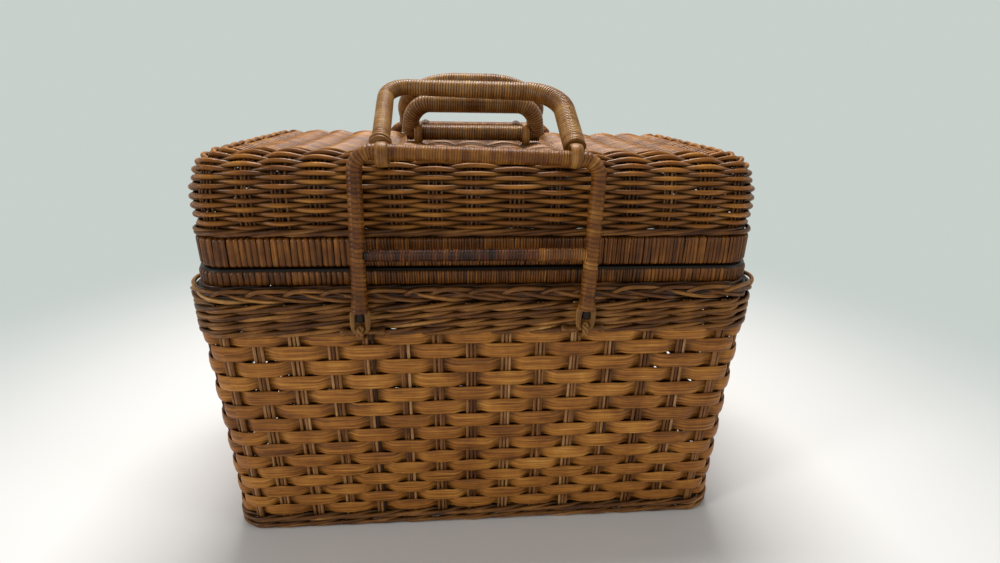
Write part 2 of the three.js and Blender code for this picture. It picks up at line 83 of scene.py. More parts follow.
# The lid: its bands, and the middle of the dome's weave from its foot up the face, round the bend and
# over the top, in millimetres.
LID_TURN = 20.0
LID_RIM = (255.0, 278.3)
LID_RIM_INSET = 8.5
LID_WALE_Z = 282.0
DOME_LOW = 284.3
DOME_TOP = 343.3
DOME_EDGE = 25.0
DOME_DEPTH = 4.8
TOP_INSET = 36.5
FACE_INSET = 7.6
FACE_HEIGHT = DOME_TOP - DOME_EDGE - DOME_LOW
BEND_RADIUS = DOME_EDGE - DOME_DEPTH
BEND_LENGTH = BEND_RADIUS * math.pi / 2
TOP_SHRINK = (HALF_LENGTH - TOP_INSET - LEAST_RADIUS) / CORNER_X
TOP_ROWS = 52

# Places of the stick groups across the front, of the sticks in a group and of the rows of flat reed,
# in millimetres.
BODY_FRONT_GROUPS = (-207, -181, -152, -122, -94, -65, -37.5, -10, 19, 48, 77, 107.5, 139, 169, 202.5)
BODY_GROUPS = 46
BODY_STICKS = (-3.15, 0, 3.15)
LID_FRONT_GROUPS = (-177, -152, -124, -95.5, -66, -37, -7.5, 25.5, 57.5, 86, 115, 146, 175.5)
LID_SIDE_GROUPS = 9
LID_STICKS = (-4.6, -1.55, 1.55, 4.6)
LID_STICK_RADIUS = 0.95
FLAT_ROWS = (
    197.3, 184.0, 170.2, 156.2, 142.3, 128.6, 115.0, 101.6, 88.6, 76.2, 64.6, 53.4, 42.4, 31.8, 21.4)

# The swing frames and the carrying handles on their bars, in millimetres. A frame's leg ends in an eye
# of that width, height and corner radius, and the rear bar has two lashings.
HANDLE_X = -5.0
PIVOT_OUT = 130.0
PIVOT_Z = 209.0
PIN_OUT = 122.9
PIN_Z = 206.0
BAR_OUT = 115.0
CROSS_BAR_Z = 269.0
LEG_SPACING = 175.0
FRAME_RADIUS = 5.65
FRAME_CORNER = 14.0
FRAME_FOOT = 16.5
EYE_SIZE = (11.0, 18.5, 5.2)
EYE_TOP = 18.0
LASHINGS = (-51.0, 51.0)
LASHING_LENGTH = 9.0
GRIP_SPACING = 140.0
GRIP_HEIGHT = 88.0
GRIP_FOOT = 9.5
GRIP_RADII = (7.4, 6.75)

# An end's side, the height of its frame's bar, the lean of its carrying handle in degrees and the
# handle's left and right corner radii. fall is how far the bar falls to the right and aside how far
# the handle's feet are pulled to the right. left, leaning and spread are how far the frame's feet lie
# to the left, how far it leans to the right and how far its legs spread. Lengths are in millimetres.
End = namedtuple("End", "side bar_z degrees corners fall aside left leaning spread")
ENDS = {
    "front": End(-1, 341.7, 60.0, (17.0, 28.0), 2.4, 1.4, 2.8, 4.1, 1.9),
    "rear": End(1, 345.5, 57.0, (56.0, 56.0), 0.0, 0.0, 0.0, 0.0, 0.0),
}
HANDS = {"left": -1, "right": 1}

# The ring handle on the lid: its pivot, the length and height of its hoop, its corner radii, the lean
# in degrees and the places of its straps, in millimetres.
RING_PLACE = (HANDLE_X, -3.4, 348.4)
RING_SPACING = 117.0
RING_HEIGHT = 27.0
RING_CORNERS = (15.0, 15.0)
RING_LEAN = 20.0
RING_RADIUS = 6.6
STRAPS = {"left": -50.0, "right": 47.5}
STRAP_REACH = 8.3

AROUND = np.linspace(0, 2 * math.pi, 24, endpoint=False)
UP = (0, 0, 1)

rng = np.random.default_rng(18)


def millimetres(name, description, default, least, most):
    """A length that a user would change."""
    return FloatProperty(
        name=name, description=description + ", in millimetres", default=default, min=least, max=most)


class HamperSizes(bpy.types.PropertyGroup):
    """Sizes and colours that a user would change"""

    flat_reed_width: millimetres("Flat reed width", "Width of the body's flat reed", 13.2, 6.0, 16.0)
    stick_radius: millimetres("Body stick radius", "Radius of the body's upright sticks", 1.35, 0.8, 2.5)
    rod_radius: millimetres("Rod radius", "Radius of the twisted rods", 1.8, 1.0, 3.0)
    lid_reed_radius: millimetres("Lid reed radius", "Radius of the lid's round reed", 1.95, 1.0, 3.0)
    grip_wrap_pitch: millimetres("Grip wrap pitch", "Width of one turn of cane on the grips", 2.2, 1.5, 6.0)
    floor_colour: FloatVectorProperty(
        name="Floor", description="Colour of the floor", subtype="COLOR", size=3,
        default=(0.79, 0.77, 0.74), min=0.0, max=1.0)


def sizes():
    return bpy.context.scene.hamper_sizes


def linear(hex_colour):
    """An sRGB hex colour as linear red, green, blue and one."""
    values = [int(hex_colour[place:place + 2], 16) / 255 for place in (1, 3, 5)]
    return (*(v / 12.92 if v <= 0.04045 else ((v + 0.055) / 1.055) ** 2.4 for v in values), 1.0)


def stacked(*axes):
    """Numbers set side by side along a last axis."""
    return np.stack(np.broadcast_arrays(*axes), -1)


def empty_tree(holder):
    """The node tree of a material or a world, without its first nodes."""
    holder.use_nodes = True
    holder.node_tree.nodes.clear()
    return holder.node_tree


def add_node(tree, kind, inputs=None, links=None, **settings):
    """Adds one shader node with its settings, input values and links."""
    made = tree.nodes.new("ShaderNode" + kind)
    for name, value in settings.items():
        setattr(made, name, value)
    for key, value in (inputs or {}).items():
        made.inputs[key].default_value = value
    for key, (source, output) in (links or {}).items():
        tree.links.new(source.outputs[output], made.inputs[key])
    return made


# Lengths of a bundle of fibres and of a blotch of stain, in millimetres, and the near-black colour of the
# painted shade in recesses.
FIBRE_LENGTH = 60.0
BLOTCH_SIZE = 22.0
PAINTED_SHADE_COLOUR = "#120801"


def cane_material(name, colours, fibre_mm=1.2, streak=0.16, roughness=0.36, bump_mm=0.1, coat=0.05,
                  stain=0.16, painted_shade=1.2):
    """Stained cane or reed: long fibres along the strand, a tone for each strand and painted shade in the
    recesses.

    colours are hex values from dark to light, and fibre_mm is the width of one bundle of fibres across
    the strand, drawn a little coarser than the real fibres so that it shows.
    """
    material = bpy.data.materials.new(name)
    tree = empty_tree(material)
    strand_map = add_node(tree, "UVMap", uv_map="strand")
    fibres = add_node(
        tree, "Mapping", {"Scale": (1000 / FIBRE_LENGTH, 1000 / fibre_mm, 1)},
        {"Vector": (strand_map, "UV")})
    noise = add_node(
        tree, "TexNoise", {"Scale": 1.0, "Detail": 3.0, "Roughness": 0.7}, {"Vector": (fibres, "Vector")},
        noise_dimensions="2D")
    place = add_node(tree, "TexCoord")
    blotch = add_node(
        tree, "TexNoise", {"Scale": 1000 / BLOTCH_SIZE, "Detail": 4.0, "Roughness": 0.65},
        {"Vector": (place, "Object")})
    level = (add_node(tree, "Attribute", attribute_name="tone"), "Fac")
    for source, swing in ((noise, streak), (blotch, stain)):
        change = add_node(
            tree, "MapRange", {"From Min": 0.3, "From Max": 0.7, "To Min": -swing, "To Max": swing},
            {"Value": (source, "Fac")})
        level = (add_node(tree, "Math", links={0: level, 1: (change, 0)}, operation="ADD"), 0)
    ramp = add_node(tree, "ValToRGB", links={"Fac": level})
    shades = [linear(colour) for colour in colours.split()]
    stops = ramp.color_ramp.elements
    stops[0].color, stops[1].color = shades[0], shades[-1]
    for index, shade in enumerate(shades[1:-1], 1):
        stops.new(index / (len(shades) - 1)).color = shade
    # Painted shade: the strand's shade attribute, scaled by the finish's strength, mixes the colour toward
    # near black.
    painted_shade_attribute = add_node(tree, "Attribute", attribute_name="painted_shade")
    painted_shading = add_node(
        tree, "Math", {1: painted_shade}, {0: (painted_shade_attribute, "Fac")}, operation="MULTIPLY", use_clamp=True)
    colour = add_node(
        tree, "Mix", {7: linear(PAINTED_SHADE_COLOUR)}, {0: (painted_shading, 0), 6: (ramp, "Color")}, data_type="RGBA")
    rough = add_node(
        tree, "MapRange", {"To Min": roughness - 0.12, "To Max": roughness + 0.12},
        {"Value": (noise, "Fac")})
    bump = add_node(
        tree, "Bump", {"Strength": 1.0, "Distance": bump_mm / 1000}, {"Height": (noise, "Fac")})
    shader = add_node(
        tree, "BsdfPrincipled", {"Coat Weight": coat, "Coat Roughness": 0.2, "Specular IOR Level": 0.2},
        {"Base Color": (colour, 2), "Roughness": (rough, 0), "Normal": (bump, 0)})
    add_node(tree, "OutputMaterial", links={"Surface": (shader, 0)})
    return material


# Each finish may set how strongly painted shade darkens its recesses.
FINISHES = {
    # Flat reed, split from the core of rattan: open grain, amber stain, a dull sheen.
    "split_flat_reed": dict(
        colours="#3C1D06 #6E3F12 #965D20 #B87B30 #D6A257", fibre_mm=1.8, streak=0.26, roughness=0.48,
        bump_mm=0.3, coat=0.04, stain=0.12, painted_shade=0.7),
    # Round reed of the lid: the same core, browner and shinier with handling.
    "round_core_reed": dict(
        colours="#2A1304 #5C340E #86511B #AE742D #D8A65C", fibre_mm=1.8, streak=0.14, roughness=0.35,
        bump_mm=0.12, coat=0.04, stain=0.12, painted_shade=1.5),
    # Twisted rods of the wales and the border: round reed with a reddish stain.
    "twisted_rod": dict(
        colours="#1C0B02 #48270C #70451A #9C6A31 #CCA061", fibre_mm=1.8, roughness=0.4, bump_mm=0.12,
        stain=0.15, painted_shade=1.45),
    # The dark wale of the lid: the same rod with more stain.
    "dark_twisted_rod": dict(
        colours="#160802 #3D200A #603813 #845726 #AC7E44", fibre_mm=1.8, streak=0.18, roughness=0.42,
        bump_mm=0.12, coat=0.03, painted_shade=1.3),
    # Upright sticks: thin round reed, paler than the rest and without a skin.
    "upright_stick": dict(
        colours="#2C1509 #573217 #7E512A #A27648 #C2986A", fibre_mm=1.4, streak=0.2, roughness=0.5,
        coat=0.0, stain=0.15, painted_shade=0.8),
    # Rim wrapping: chair cane with its hard glossy skin outside, stained dark brown.
    "stained_chair_cane": dict(
        colours="#1A0A02 #4A2709 #774412 #A06521 #CB9345", fibre_mm=1.4, coat=0.08, painted_shade=1.4),
    # Grip wrapping: chair cane left pale, with shiny skin and painted shade between the turns.
    "pale_chair_cane": dict(
        colours="#2C1706 #5E3815 #885827 #AC7D42 #D2AC72", streak=0.14, roughness=0.34, coat=0.08,
        stain=0.18),
    # Frame wrapping: the same cane, browned by age and handling.
    "aged_chair_cane": dict(
        colours="#1C0B02 #4A2508 #73400F #9B6524 #CA9A50", coat=0.03, stain=0.2, painted_shade=0.8),
    # Cross bar wrapping: chair cane under dark brown varnish.
    "varnished_chair_cane": dict(
        colours="#0E0401 #2E1304 #522608 #7C4310 #B07434", streak=0.2, roughness=0.34, stain=0.25),
    # Binding cane: peeled and smooth, a light tan.
    "peeled_cane": dict(
        colours="#3C200A #6C431A #94652E #B4874B #D2AE77", fibre_mm=1.6, streak=0.18, roughness=0.42,
        painted_shade=0.9),
}


def finish(name):
    """The material of that name, made once."""
    return bpy.data.materials.get(name) or cane_material(name, **FINISHES[name])


def plan_point(u, inset, turn):
    """Points on the plan and their outward directions. u runs in millimetres anticlockwise from the
    middle of the front, along a line with corners of the radius turn, and inset is the distance
    inward from the top of the wall."""
    arc = turn * math.pi / 2
    lengths = np.array([CORNER_X, arc, 2 * CORNER_Y, arc, 2 * CORNER_X, arc, 2 * CORNER_Y, arc, CORNER_X])
    ends = np.cumsum(lengths)
    u = np.mod(u, ends[-1] - 1e-9)
    part = np.searchsorted(ends, u, side="right")
    share = (u - (ends - lengths)[part]) / lengths[part]
    radius = np.maximum(CORNER_RADIUS - inset, LEAST_RADIUS)
    start, end = PLAN_STOPS[part].T, PLAN_STOPS[part + 1].T
    corner_x, corner_y = start + (end - start) * share
    angle = (part // 2 - 1 + part % 2 * share) * math.pi / 2
    x = (HALF_LENGTH - inset - radius) * corner_x + radius * np.cos(angle)
    y = (HALF_DEPTH - inset - radius) * corner_y + radius * np.sin(angle)
    return x, y, np.cos(angle), np.sin(angle)


def on_plan(u, inset, turn, z, rise=0.0):
    """Points over the plan at the heights z, and outward directions that look up by the angle rise."""
    x, y, nx, ny = plan_point(u, inset, turn)
    return stacked(x, y, z), stacked(nx * np.cos(rise), ny * np.cos(rise), np.sin(rise))


def plan_length(turn):
    return 4 * (CORNER_X + CORNER_Y) + 2 * math.pi * turn


def body_groups():
    """Places of the body's stick groups, in order, with the first one repeated at the end."""
    total = plan_length(CORNER_RADIUS)
    front = np.array(BODY_FRONT_GROUPS, float)
    rest = np.linspace(front[-1], front[0] + total, BODY_GROUPS - len(front) + 2)[1:]
    return np.concatenate([front, rest])


def lid_groups():
    """Places of the lid's stick groups: the front's are repeated at the back, in line with them."""
    total = plan_length(LID_TURN)
    front = np.array(LID_FRONT_GROUPS, float)
    back = total / 2 - front[::-1]
    right = np.linspace(front[-1], back[0], LID_SIDE_GROUPS + 2)[1:-1]
    left = np.linspace(back[-1], front[0] + total, LID_SIDE_GROUPS + 2)[1:]
    return np.concatenate([front, right, back, left])


def between(values, k):
    """Values read at the positions k, which count from the first one."""
    return np.interp(k, np.arange(len(values)), values)


def smooth_random(count, k, closed=True):
    """Random numbers about 0, one for each whole position, read at the positions between them."""
    values = rng.normal(0.0, 1.0, count + 1)
    if closed:
        values[-1] = values[0]
    return between(values, k)


def smoothed(values, reach):
    """Values averaged with as many neighbours on either side as reach says."""
    window = 2 * reach + 1
    return np.convolve(np.pad(values, reach, mode="edge"), np.ones(window) / window, "valid")


def tones_along(middle, swing, count, k, closed=True):
    """A strand's tones, which drift by about the swing from one group of sticks to the next."""
    return middle + swing * smooth_random(count, k, closed)


def lingering(swing, sharpness, shift):
    """A swing between -1 and 1 that lingers outside and dips in for a shorter time."""
    return np.tanh(sharpness * (swing + shift)) / math.tanh(sharpness * (1 + shift))


def round_profile(radius, sides=8):
    angles = 2 * math.pi * (np.arange(sides) + 0.5) / sides
    return radius * np.column_stack([np.cos(angles), np.sin(angles)])


def ellipse_profile(half_width, half_height, sides=8):
    return round_profile(1.0, sides) * np.array([half_width, half_height])


def flat_profile(width, thickness, droop=0.0):
    """A flat strip with rounded edges and a slightly crowned face, whose edges droop."""
    half, high = width / 2, thickness / 2
    edge = min(0.12 * width, thickness * 0.7)
    bends = np.array([
        (half, -0.2 * high), (half - 0.35 * edge, 0.55 * high), (half - 1.4 * edge, 0.9 * high)])
    foot = [(edge - half, -high), (half - edge, -high)]
    profile = np.concatenate([bends, [(0, high)], bends[::-1] * (-1, 1), foot])
    profile[:, 1] -= droop * (profile[:, 0] / half) ** 2
    return profile


def rounded_rectangle(width, height, radius, steps):
    """A closed outline that stands on height 0, anticlockwise from its right foot, and the angles that
    its points face."""
    side, level = np.array([1, 1, -1, -1]), np.array([-1, 1, 1, -1])
    angle = (np.arange(4)[:, None] - 1 + np.arange(steps + 1) / steps) * math.pi / 2
    away = stacked(np.cos(angle), np.sin(angle))
    corner = stacked(side * (width / 2 - radius), height / 2 + level * (height / 2 - radius))
    return (corner[:, None] + radius * away).reshape(-1, 2), angle.ravel()


def distances(points):
    """How far along its line each point lies."""
    return np.concatenate([[0], np.cumsum(np.linalg.norm(np.diff(points, axis=0), axis=1))])


def directions(along, out):
    """Unit vectors across lines that run the way along: sideways, and outward as near out as can be."""
    along = along / np.linalg.norm(along, axis=-1, keepdims=True)
    side = np.cross(along, out)
    side /= np.linalg.norm(side, axis=-1, keepdims=True)
    return along, side, np.cross(side, along)


# A strand's end: how far its closing point lies past it, in millimetres, and how small it is.
END_REACH = 0.4
END_SHARE = 0.02


def strand(centre, out, profile, tone=0.5, wave=0.0, scale=1.0, closed=False, material=0, taper=False):
    """One strand: a profile carried along a line of points.

    out is the direction of the profile's second axis, wave sets the painted shade, 1 where the strand lies
    outermost and lit and -1 where it lies innermost and shaded, and scale holds factors at the points, or
    two rows for the two axes.
    """
    centre = np.asarray(centre, float)
    count = len(centre)
    if closed:
        along = np.roll(centre, -1, 0) - np.roll(centre, 1, 0)
    else:
        along = np.gradient(centre, axis=0)
    along, side, up = directions(along, out)
    factors = np.broadcast_to(np.asarray(scale, float), (2, count)).T
    tones, shade_waves = (np.broadcast_to(np.asarray(a, float), count) for a in (tone, wave))
    if taper:
        reach = along[[0, -1]] * END_REACH
        centre = np.concatenate([centre[:1] - reach[:1], centre, centre[-1:] + reach[1:]])
        side, up, tones, shade_waves = (np.concatenate([a[:1], a, a[-1:]]) for a in (side, up, tones, shade_waves))
        factors = np.concatenate([factors[:1] * END_SHARE, factors, factors[-1:] * END_SHARE])
    loop = np.concatenate([profile, profile[:1]])
    across = side[:, None] * (loop[:, :1] * factors[:, None, :1])
    points = centre[:, None] + across + up[:, None] * (loop[:, 1:] * factors[:, None, 1:])
    # Painted shade: darker where the strand lies inward and on the inner side of its profile, lighter on
    # its outer face.
    high = loop[:, 1] / np.abs(loop[:, 1]).max()
    painted_shade = np.clip(0.5 - 0.33 * shade_waves[:, None] - 0.25 * high, 0, 1)
    tones = np.repeat(tones[:, None], len(loop), 1)
    run = distances(centre)
    if closed:
        points, painted_shade, tones = (np.concatenate([a, a[:1]]) for a in (points, painted_shade, tones))
        run = np.append(run, run[-1] + np.linalg.norm(centre[-1] - centre[0]))
    start = rng.uniform(0, 400)
    uv = stacked(run[:, None] + start, distances(loop) + start)
    return {"points": points, "uv": uv, "tone": tones, "painted_shade": painted_shade, "material": material}


def weave_mesh(name, strands):
    """One mesh from strands: a grid for each, bent to its strand, with its seams welded."""
    bm = bmesh.new()
    for item in strands:
        stations, around = item["tone"].shape
        bmesh.ops.create_grid(bm, x_segments=around - 1, y_segments=stations - 1, size=1.0)
    mesh = bpy.data.meshes.new(name)
    bm.to_mesh(mesh)
    bm.free()
    points = np.concatenate([item["points"].reshape(-1, 3) for item in strands]) * 0.001
    uv = np.concatenate([item["uv"].reshape(-1, 2) for item in strands]) * 0.001
    mesh.vertices.foreach_set("co", points.astype(np.float32).ravel())
    for label in ("tone", "painted_shade"):
        values = np.concatenate([item[label].ravel() for item in strands]).astype(np.float32)
        mesh.attributes.new(label, "FLOAT", "POINT").data.foreach_set("value", values)
    corners = np.zeros(len(mesh.loops), np.int32)
    mesh.loops.foreach_get("vertex_index", corners)
    layer = mesh.uv_layers.new(name="strand")
    layer.data.foreach_set("uv", uv[corners].astype(np.float32).ravel())
    faces = [np.full(item["tone"][1:, 1:].size, item["material"]) for item in strands]
    mesh.polygons.foreach_set("material_index", np.concatenate(faces).astype(np.int32))
    bm = bmesh.new()
    bm.from_mesh(mesh)
    bmesh.ops.reverse_faces(bm, faces=bm.faces)
    bmesh.ops.remove_doubles(bm, verts=bm.verts, dist=1e-6)
    for face in bm.faces:
        face.smooth = True
    bm.to_mesh(mesh)
    bm.free()
    mesh.update()
    return mesh


def new_object(name, data):
    """A new object in the scene."""
    made = bpy.data.objects.new(name, data)
    bpy.context.scene.collection.objects.link(made)
    return made


def make_piece(name, body, slot, strands, finishes, *nodes):
    """A piece of strands that rides on a body and stands for CAD nodes."""
    mesh = weave_mesh(name, strands)
    for label in finishes:
        mesh.materials.append(finish(label))
    piece = new_object(name, mesh)
    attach(piece, body)
    if nodes:
        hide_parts(*nodes)


def wall_inset(z):
    """Inset of the middle of the wall's weave at a height."""
    return WALL_TAPER * (WALL_TOP - z) / (WALL_TOP - FOOT_TOP) + WALL_MIDDLE


# Sway of a rope's rods in millimetres, and how much their tone and thickness vary.
ROD_SWAY = 0.25
ROD_TONES = 0.13
ROD_SLACK = 0.05


def rope(groups, turn, z, inset, reach, rise, radius, shift=0.0, tone=0.5):
    """A row of three rods: each climbs across two groups of sticks outside the wall, and drops
    behind the third. It starts at the back, where its ends don't show.

    reach is how far the rods swing out and in, rise how far they climb, and shift moves their pattern.
    """
    count = len(groups) - 1
    half = count // 2
    from_back = np.concatenate([groups[half:], groups[1:half + 1] + groups[-1] - groups[0]])
    k = np.arange(0, count * 10 + 1) / 10
    u = between(from_back, k)
    made = []
    for number in range(3):
        place = np.mod(k - (count - half) + shift + number, 3)
        climb = smoothed(np.interp(place, [0, 2, 3], [-rise, rise, -rise]), 3)
        wave = lingering(np.cos(2 * math.pi * (place - 1) / 3), 1.5, 0.5)
        sway = ROD_SWAY * smooth_random(count, k)
        points, out = on_plan(u, inset - reach * wave, turn, z + climb + sway)
        tones = tones_along(tone, ROD_TONES, count, k)
        thick = 1 + ROD_SLACK * smooth_random(count, k)
        made.append(strand(points, out, round_profile(radius), tones, wave, thick, taper=True))
    return made


def sticks(groups, turn, offsets, radius, line, tone=0.5, shade_wave=0.7):
    """Groups of upright sticks, each a little bent and out of place. line gives the inset, height and
    upward angle of the wall's middle, and the last argument is the wave that sets their painted shade."""
    made = []
    inset, z, rise = line
    for place in groups[:-1]:
        for offset in offsets:
            shift = offset + rng.normal(0, 0.22)
            bend = np.interp(np.linspace(0, 1, len(z)), np.linspace(0, 1, 5), rng.normal(0, 0.35, 5))
            points, out = on_plan(place + shift + bend, inset, turn, z, rise)
            stained = tone + rng.normal(0, 0.14)
            made.append(strand(points, out, round_profile(radius, 6), stained, shade_wave, taper=True))
    return made


# Stations along a woven strand from one group of sticks to the next.
STEPS = 12


def ring_places(groups):
    """Positions all round a ring of stick groups, counted in groups, and their places on the plan."""
    k = np.arange(0, (len(groups) - 1) * STEPS) / STEPS
    return k, between(groups, k)


class HAMPER_OT_body(bpy.types.Operator):
    """Weave the body's flat reed over its groups of round sticks"""

    bl_idname = "hamper.body"
    bl_label = "Body wall"

    def execute(self, context):
        groups = body_groups()
        k, u = ring_places(groups)
        width = sizes().flat_reed_width
        profile = flat_profile(width, 1.3, 0.55)
        gaps = -np.diff(FLAT_ROWS)
        rooms = np.minimum(np.append(gaps[:1], gaps), np.append(gaps, gaps[-1:]))
        rows = []
        for number, (z, room) in enumerate(zip(FLAT_ROWS, rooms)):
            # A reed is narrower where its rows crowd, and broadest behind the sticks.
            swing = np.cos(math.pi * (k + number + 1))
            pinch = min(1.0, 1.03 * room / width)
            flat = np.where(swing > 0, min(1.04, 1.15 * pinch), 1.5)
            broad = pinch + (flat - pinch) * np.abs(swing) ** 3
            wave = lingering(swing, 2.4, 0.45)
            height = z + 0.3 * smooth_random(BODY_GROUPS, k)
            points, out = on_plan(u, wall_inset(z) - WALL_REACH * wave, CORNER_RADIUS, height)
            tones = tones_along(0.5, 0.09, BODY_GROUPS, k) + rng.normal(0, 0.025)
            # Painted shade: the reed stays light on its face and darkens only where it dives behind the
            # sticks.
            painted_shading = np.clip(1.2 * wave + 0.5, -1, 1)
            scale = (broad, np.ones_like(broad))
            rows.append(strand(points, out, profile, tones, painted_shading, scale, closed=True))
        make_piece("body_flat_reed", "body", "flat_reed", rows, ["split_flat_reed"], "body_wall")
        z = np.linspace(*STICK_ENDS, 24)
        line = (wall_inset(np.minimum(z, WALL_TOP)), z, 0.0)
        uprights = sticks(groups, CORNER_RADIUS, BODY_STICKS, sizes().stick_radius, line)
        make_piece("body_sticks", "body", "flat_reed", uprights, ["upright_stick"])
        return {"FINISHED"}


class HAMPER_OT_wales(bpy.types.Operator):
    """Twist the rods of the foot wale and the top wale"""

    bl_idname = "hamper.wales"
    bl_label = "Foot and top wales"

    def execute(self, context):
        groups = body_groups()
        radius = sizes().rod_radius
        for name, heights, inset, reach, rise, tone in (
            ("top_wale", TOP_WALE_ROWS, 3.9, 3.9, 3.1, 0.5),
            ("foot_wale", FOOT_WALE_ROWS, 7.3, 3.2, 2.0, 0.48),
        ):
            rods = []
            for z in heights:
                rods += rope(groups, CORNER_RADIUS, z, inset, reach, rise, radius, 2.5, tone)
            make_piece(f"{name}_rods", "body", "wale_rod", rods, ["twisted_rod"], name)
        return {"FINISHED"}


# The path of a rod of the border: positions counted in groups from its own stick, and the heights and
# insets there in millimetres. It comes out over the top, dips behind the next rods, comes out again
# lower down and tucks in.
BORDER_PLACES = (-0.3, -0.15, -0.02, 0.14, 0.42, 0.85, 1.12, 1.45, 1.9, 2.4, 2.75, 3.1)
BORDER_HEIGHTS = (231.0, 232.6, 236.0, 238.4, 239.2, 238.4, 236.9, 234.8, 232.4, 230.2, 229.0, 228.6)
BORDER_INSETS = (8.0, 3.0, -0.2, -0.7, -0.2, 0.8, 3.4, 1.8, -0.2, 0.2, 3.6, 8.0)

# Heights and insets of the dark rods inside the border, which close the gaps behind its plait; their dark
# tone is painted shade.
FILLERS = ((232.5, 8.5), (236.0, 5.5), (237.8, 9.5), (233.5, 3.4))


class HAMPER_OT_border(bpy.types.Operator):
    """Fold the ends of the sticks down into the plaited border"""

    bl_idname = "hamper.border"
    bl_label = "Folded border"

    def execute(self, context):
        groups = body_groups()
        total = plan_length(CORNER_RADIUS)
        extended = np.concatenate([groups[-3:-1] - total, groups, groups[1:6] + total])
        k = np.linspace(BORDER_PLACES[0], BORDER_PLACES[-1], 44)
        rods = []
        for place in range(BODY_GROUPS):
            u = between(extended, place + 2 + k + rng.normal(0, 0.05))
            z, inset = (
                smoothed(np.interp(k, BORDER_PLACES, line) + sway * smooth_random(5, k + 1, False), 1)
                for line, sway in ((BORDER_HEIGHTS, 0.25), (BORDER_INSETS, 0.2)))
            points, out = on_plan(u, inset, CORNER_RADIUS, z)
            # Painted shade: the rod darkens as it tucks inward.
            wave = np.clip(1 - (inset + 0.3) / 4.5, -1, 1)
            profile = round_profile(sizes().rod_radius * rng.uniform(0.88, 1.0))
            rods.append(strand(points, out, profile, 0.5 + rng.normal(0, 0.14), wave, taper=True))
        for z, inset in FILLERS:
            rods += rope(groups, CORNER_RADIUS, z, inset, 1.6, 1.6, 1.9, tone=0.2)
        make_piece("folded_border_rods", "body", "wale_rod", rods, ["twisted_rod"], "folded_border")
        return {"FINISHED"}


def strip_width(x):
    """Width of the rim's strips in millimetres: the left end was wound with wider cane."""
    if x < -100:
        return 4.7
    return 2.1 if x < 120 else 3.0


# Thickness of the rim's strips in millimetres, the share of its room that a strip's width takes, and
# the share of strips that are stained darker.
STRIP = 0.9
STRIP_SHARE = 0.95
DARK_STRIPS = 0.03


def wrapped_hoop(inset, low, high, tone):
    """Strips of cane wound round a flat hoop, side by side."""
    turn = CORNER_RADIUS - inset
    total = plan_length(turn)
    path, angles = rounded_rectangle(RIM_THICKNESS - STRIP, high - low - STRIP, 2.2, 3)
    away, up = path[:, 0] - RIM_THICKNESS / 2, path[:, 1] + STRIP / 2
    made = []
    place = 0.0
    while place < total - 1.0:
        x = plan_point(np.array([place]), inset, turn)[0][0]
        width = min(strip_width(x) * rng.uniform(0.8, 1.2), total - place)
        if total - place - width < 1.5:
            width = total - place
        u = place + width / 2 + rng.normal(0, 0.15) + rng.normal(0, 0.3) * (up / (high - low) - 0.5)
        points, out = on_plan(u, inset - away, turn, low + up, angles)
        profile = flat_profile(width * STRIP_SHARE, STRIP, 0.35 * STRIP_SHARE ** 2)[[0, 1, 3, 5, 6, 7]]
        stained = tone + rng.normal(0, 0.07) - (0.15 if rng.uniform() < DARK_STRIPS else 0.0)
        made.append(strand(points, out, profile, stained, 0.75, closed=True))
        place += width
    return made


def hoop_core(inset, low, high):
    """The flat hoop under the wrapping, painted near black as shade, since it shows only in the gaps
    between the strips.
    """
    u = np.linspace(0, plan_length(CORNER_RADIUS), 160, endpoint=False)
    points, out = on_plan(u, inset + RIM_THICKNESS / 2, CORNER_RADIUS, (low + high) / 2)
    wide, thick = (high - low) / 2 - 1.6, RIM_THICKNESS / 2 - 1.6
    profile = np.array([(wide, -thick), (wide, thick), (-wide, thick), (-wide, -thick)])
    return strand(points, out, profile, 0.1, -1.5, closed=True)


class HAMPER_OT_rims(bpy.types.Operator):
    """Wrap the body rim and the lid rim with cane"""

    bl_idname = "hamper.rims"
    bl_label = "Body and lid rims"

    def execute(self, context):
        for body, inset, rim, core, tone in (
            ("body", BODY_RIM_INSET, BODY_RIM, (BODY_RIM[0], CORE_MEETING[1]), 0.44),
            ("lid", LID_RIM_INSET, LID_RIM, (CORE_MEETING[0], LID_RIM[1]), 0.45),
        ):
            strips = wrapped_hoop(inset, *rim, tone) + [hoop_core(inset, *core)]
            make_piece(f"{body}_rim_wrap", body, "rim_wrap", strips, ["stained_chair_cane"], f"{body}_rim")
        rods = rope(lid_groups(), LID_TURN, LID_WALE_Z, 12.2, 3.0, 1.9, 1.7)
        make_piece("lid_wale_rods", "lid", "wale_rod", rods, ["dark_twisted_rod"], "lid_wale")
        return {"FINISHED"}


def dome_line(run):
    """Inset, height and upward angle of the middle of the dome's weave, a run up from its foot."""
    rise = np.clip((run - FACE_HEIGHT) / BEND_RADIUS, 0, math.pi / 2)
    z = DOME_LOW + np.minimum(run, FACE_HEIGHT) + BEND_RADIUS * np.sin(rise)
    swell = 2.0 * (2 * np.clip(run / FACE_HEIGHT, 0, 1) - 1) ** 2
    bend = TOP_INSET - BEND_RADIUS * np.cos(rise)
    return np.where(run < FACE_HEIGHT, FACE_INSET + DOME_DEPTH + swell, bend), z, rise


def top_height(x, y):
    """Height of the middle of the top's weave, which sags a little."""
    reach_x = np.clip(np.abs(x) / (HALF_LENGTH - TOP_INSET), 0, 1)
    reach_y = np.clip(np.abs(y) / (HALF_DEPTH - TOP_INSET), 0, 1)
    return DOME_TOP - DOME_DEPTH - 3.0 * (1 - reach_x ** 1.3) * (1 - reach_y ** 2)


def squeezed(wave):
    """Width and thickness of a round reed, which is slimmer where it crosses between the groups."""
    return np.array([0.87 + 0.13 * np.abs(wave) ** 0.8, 0.9 + 0.1 * np.abs(wave)])


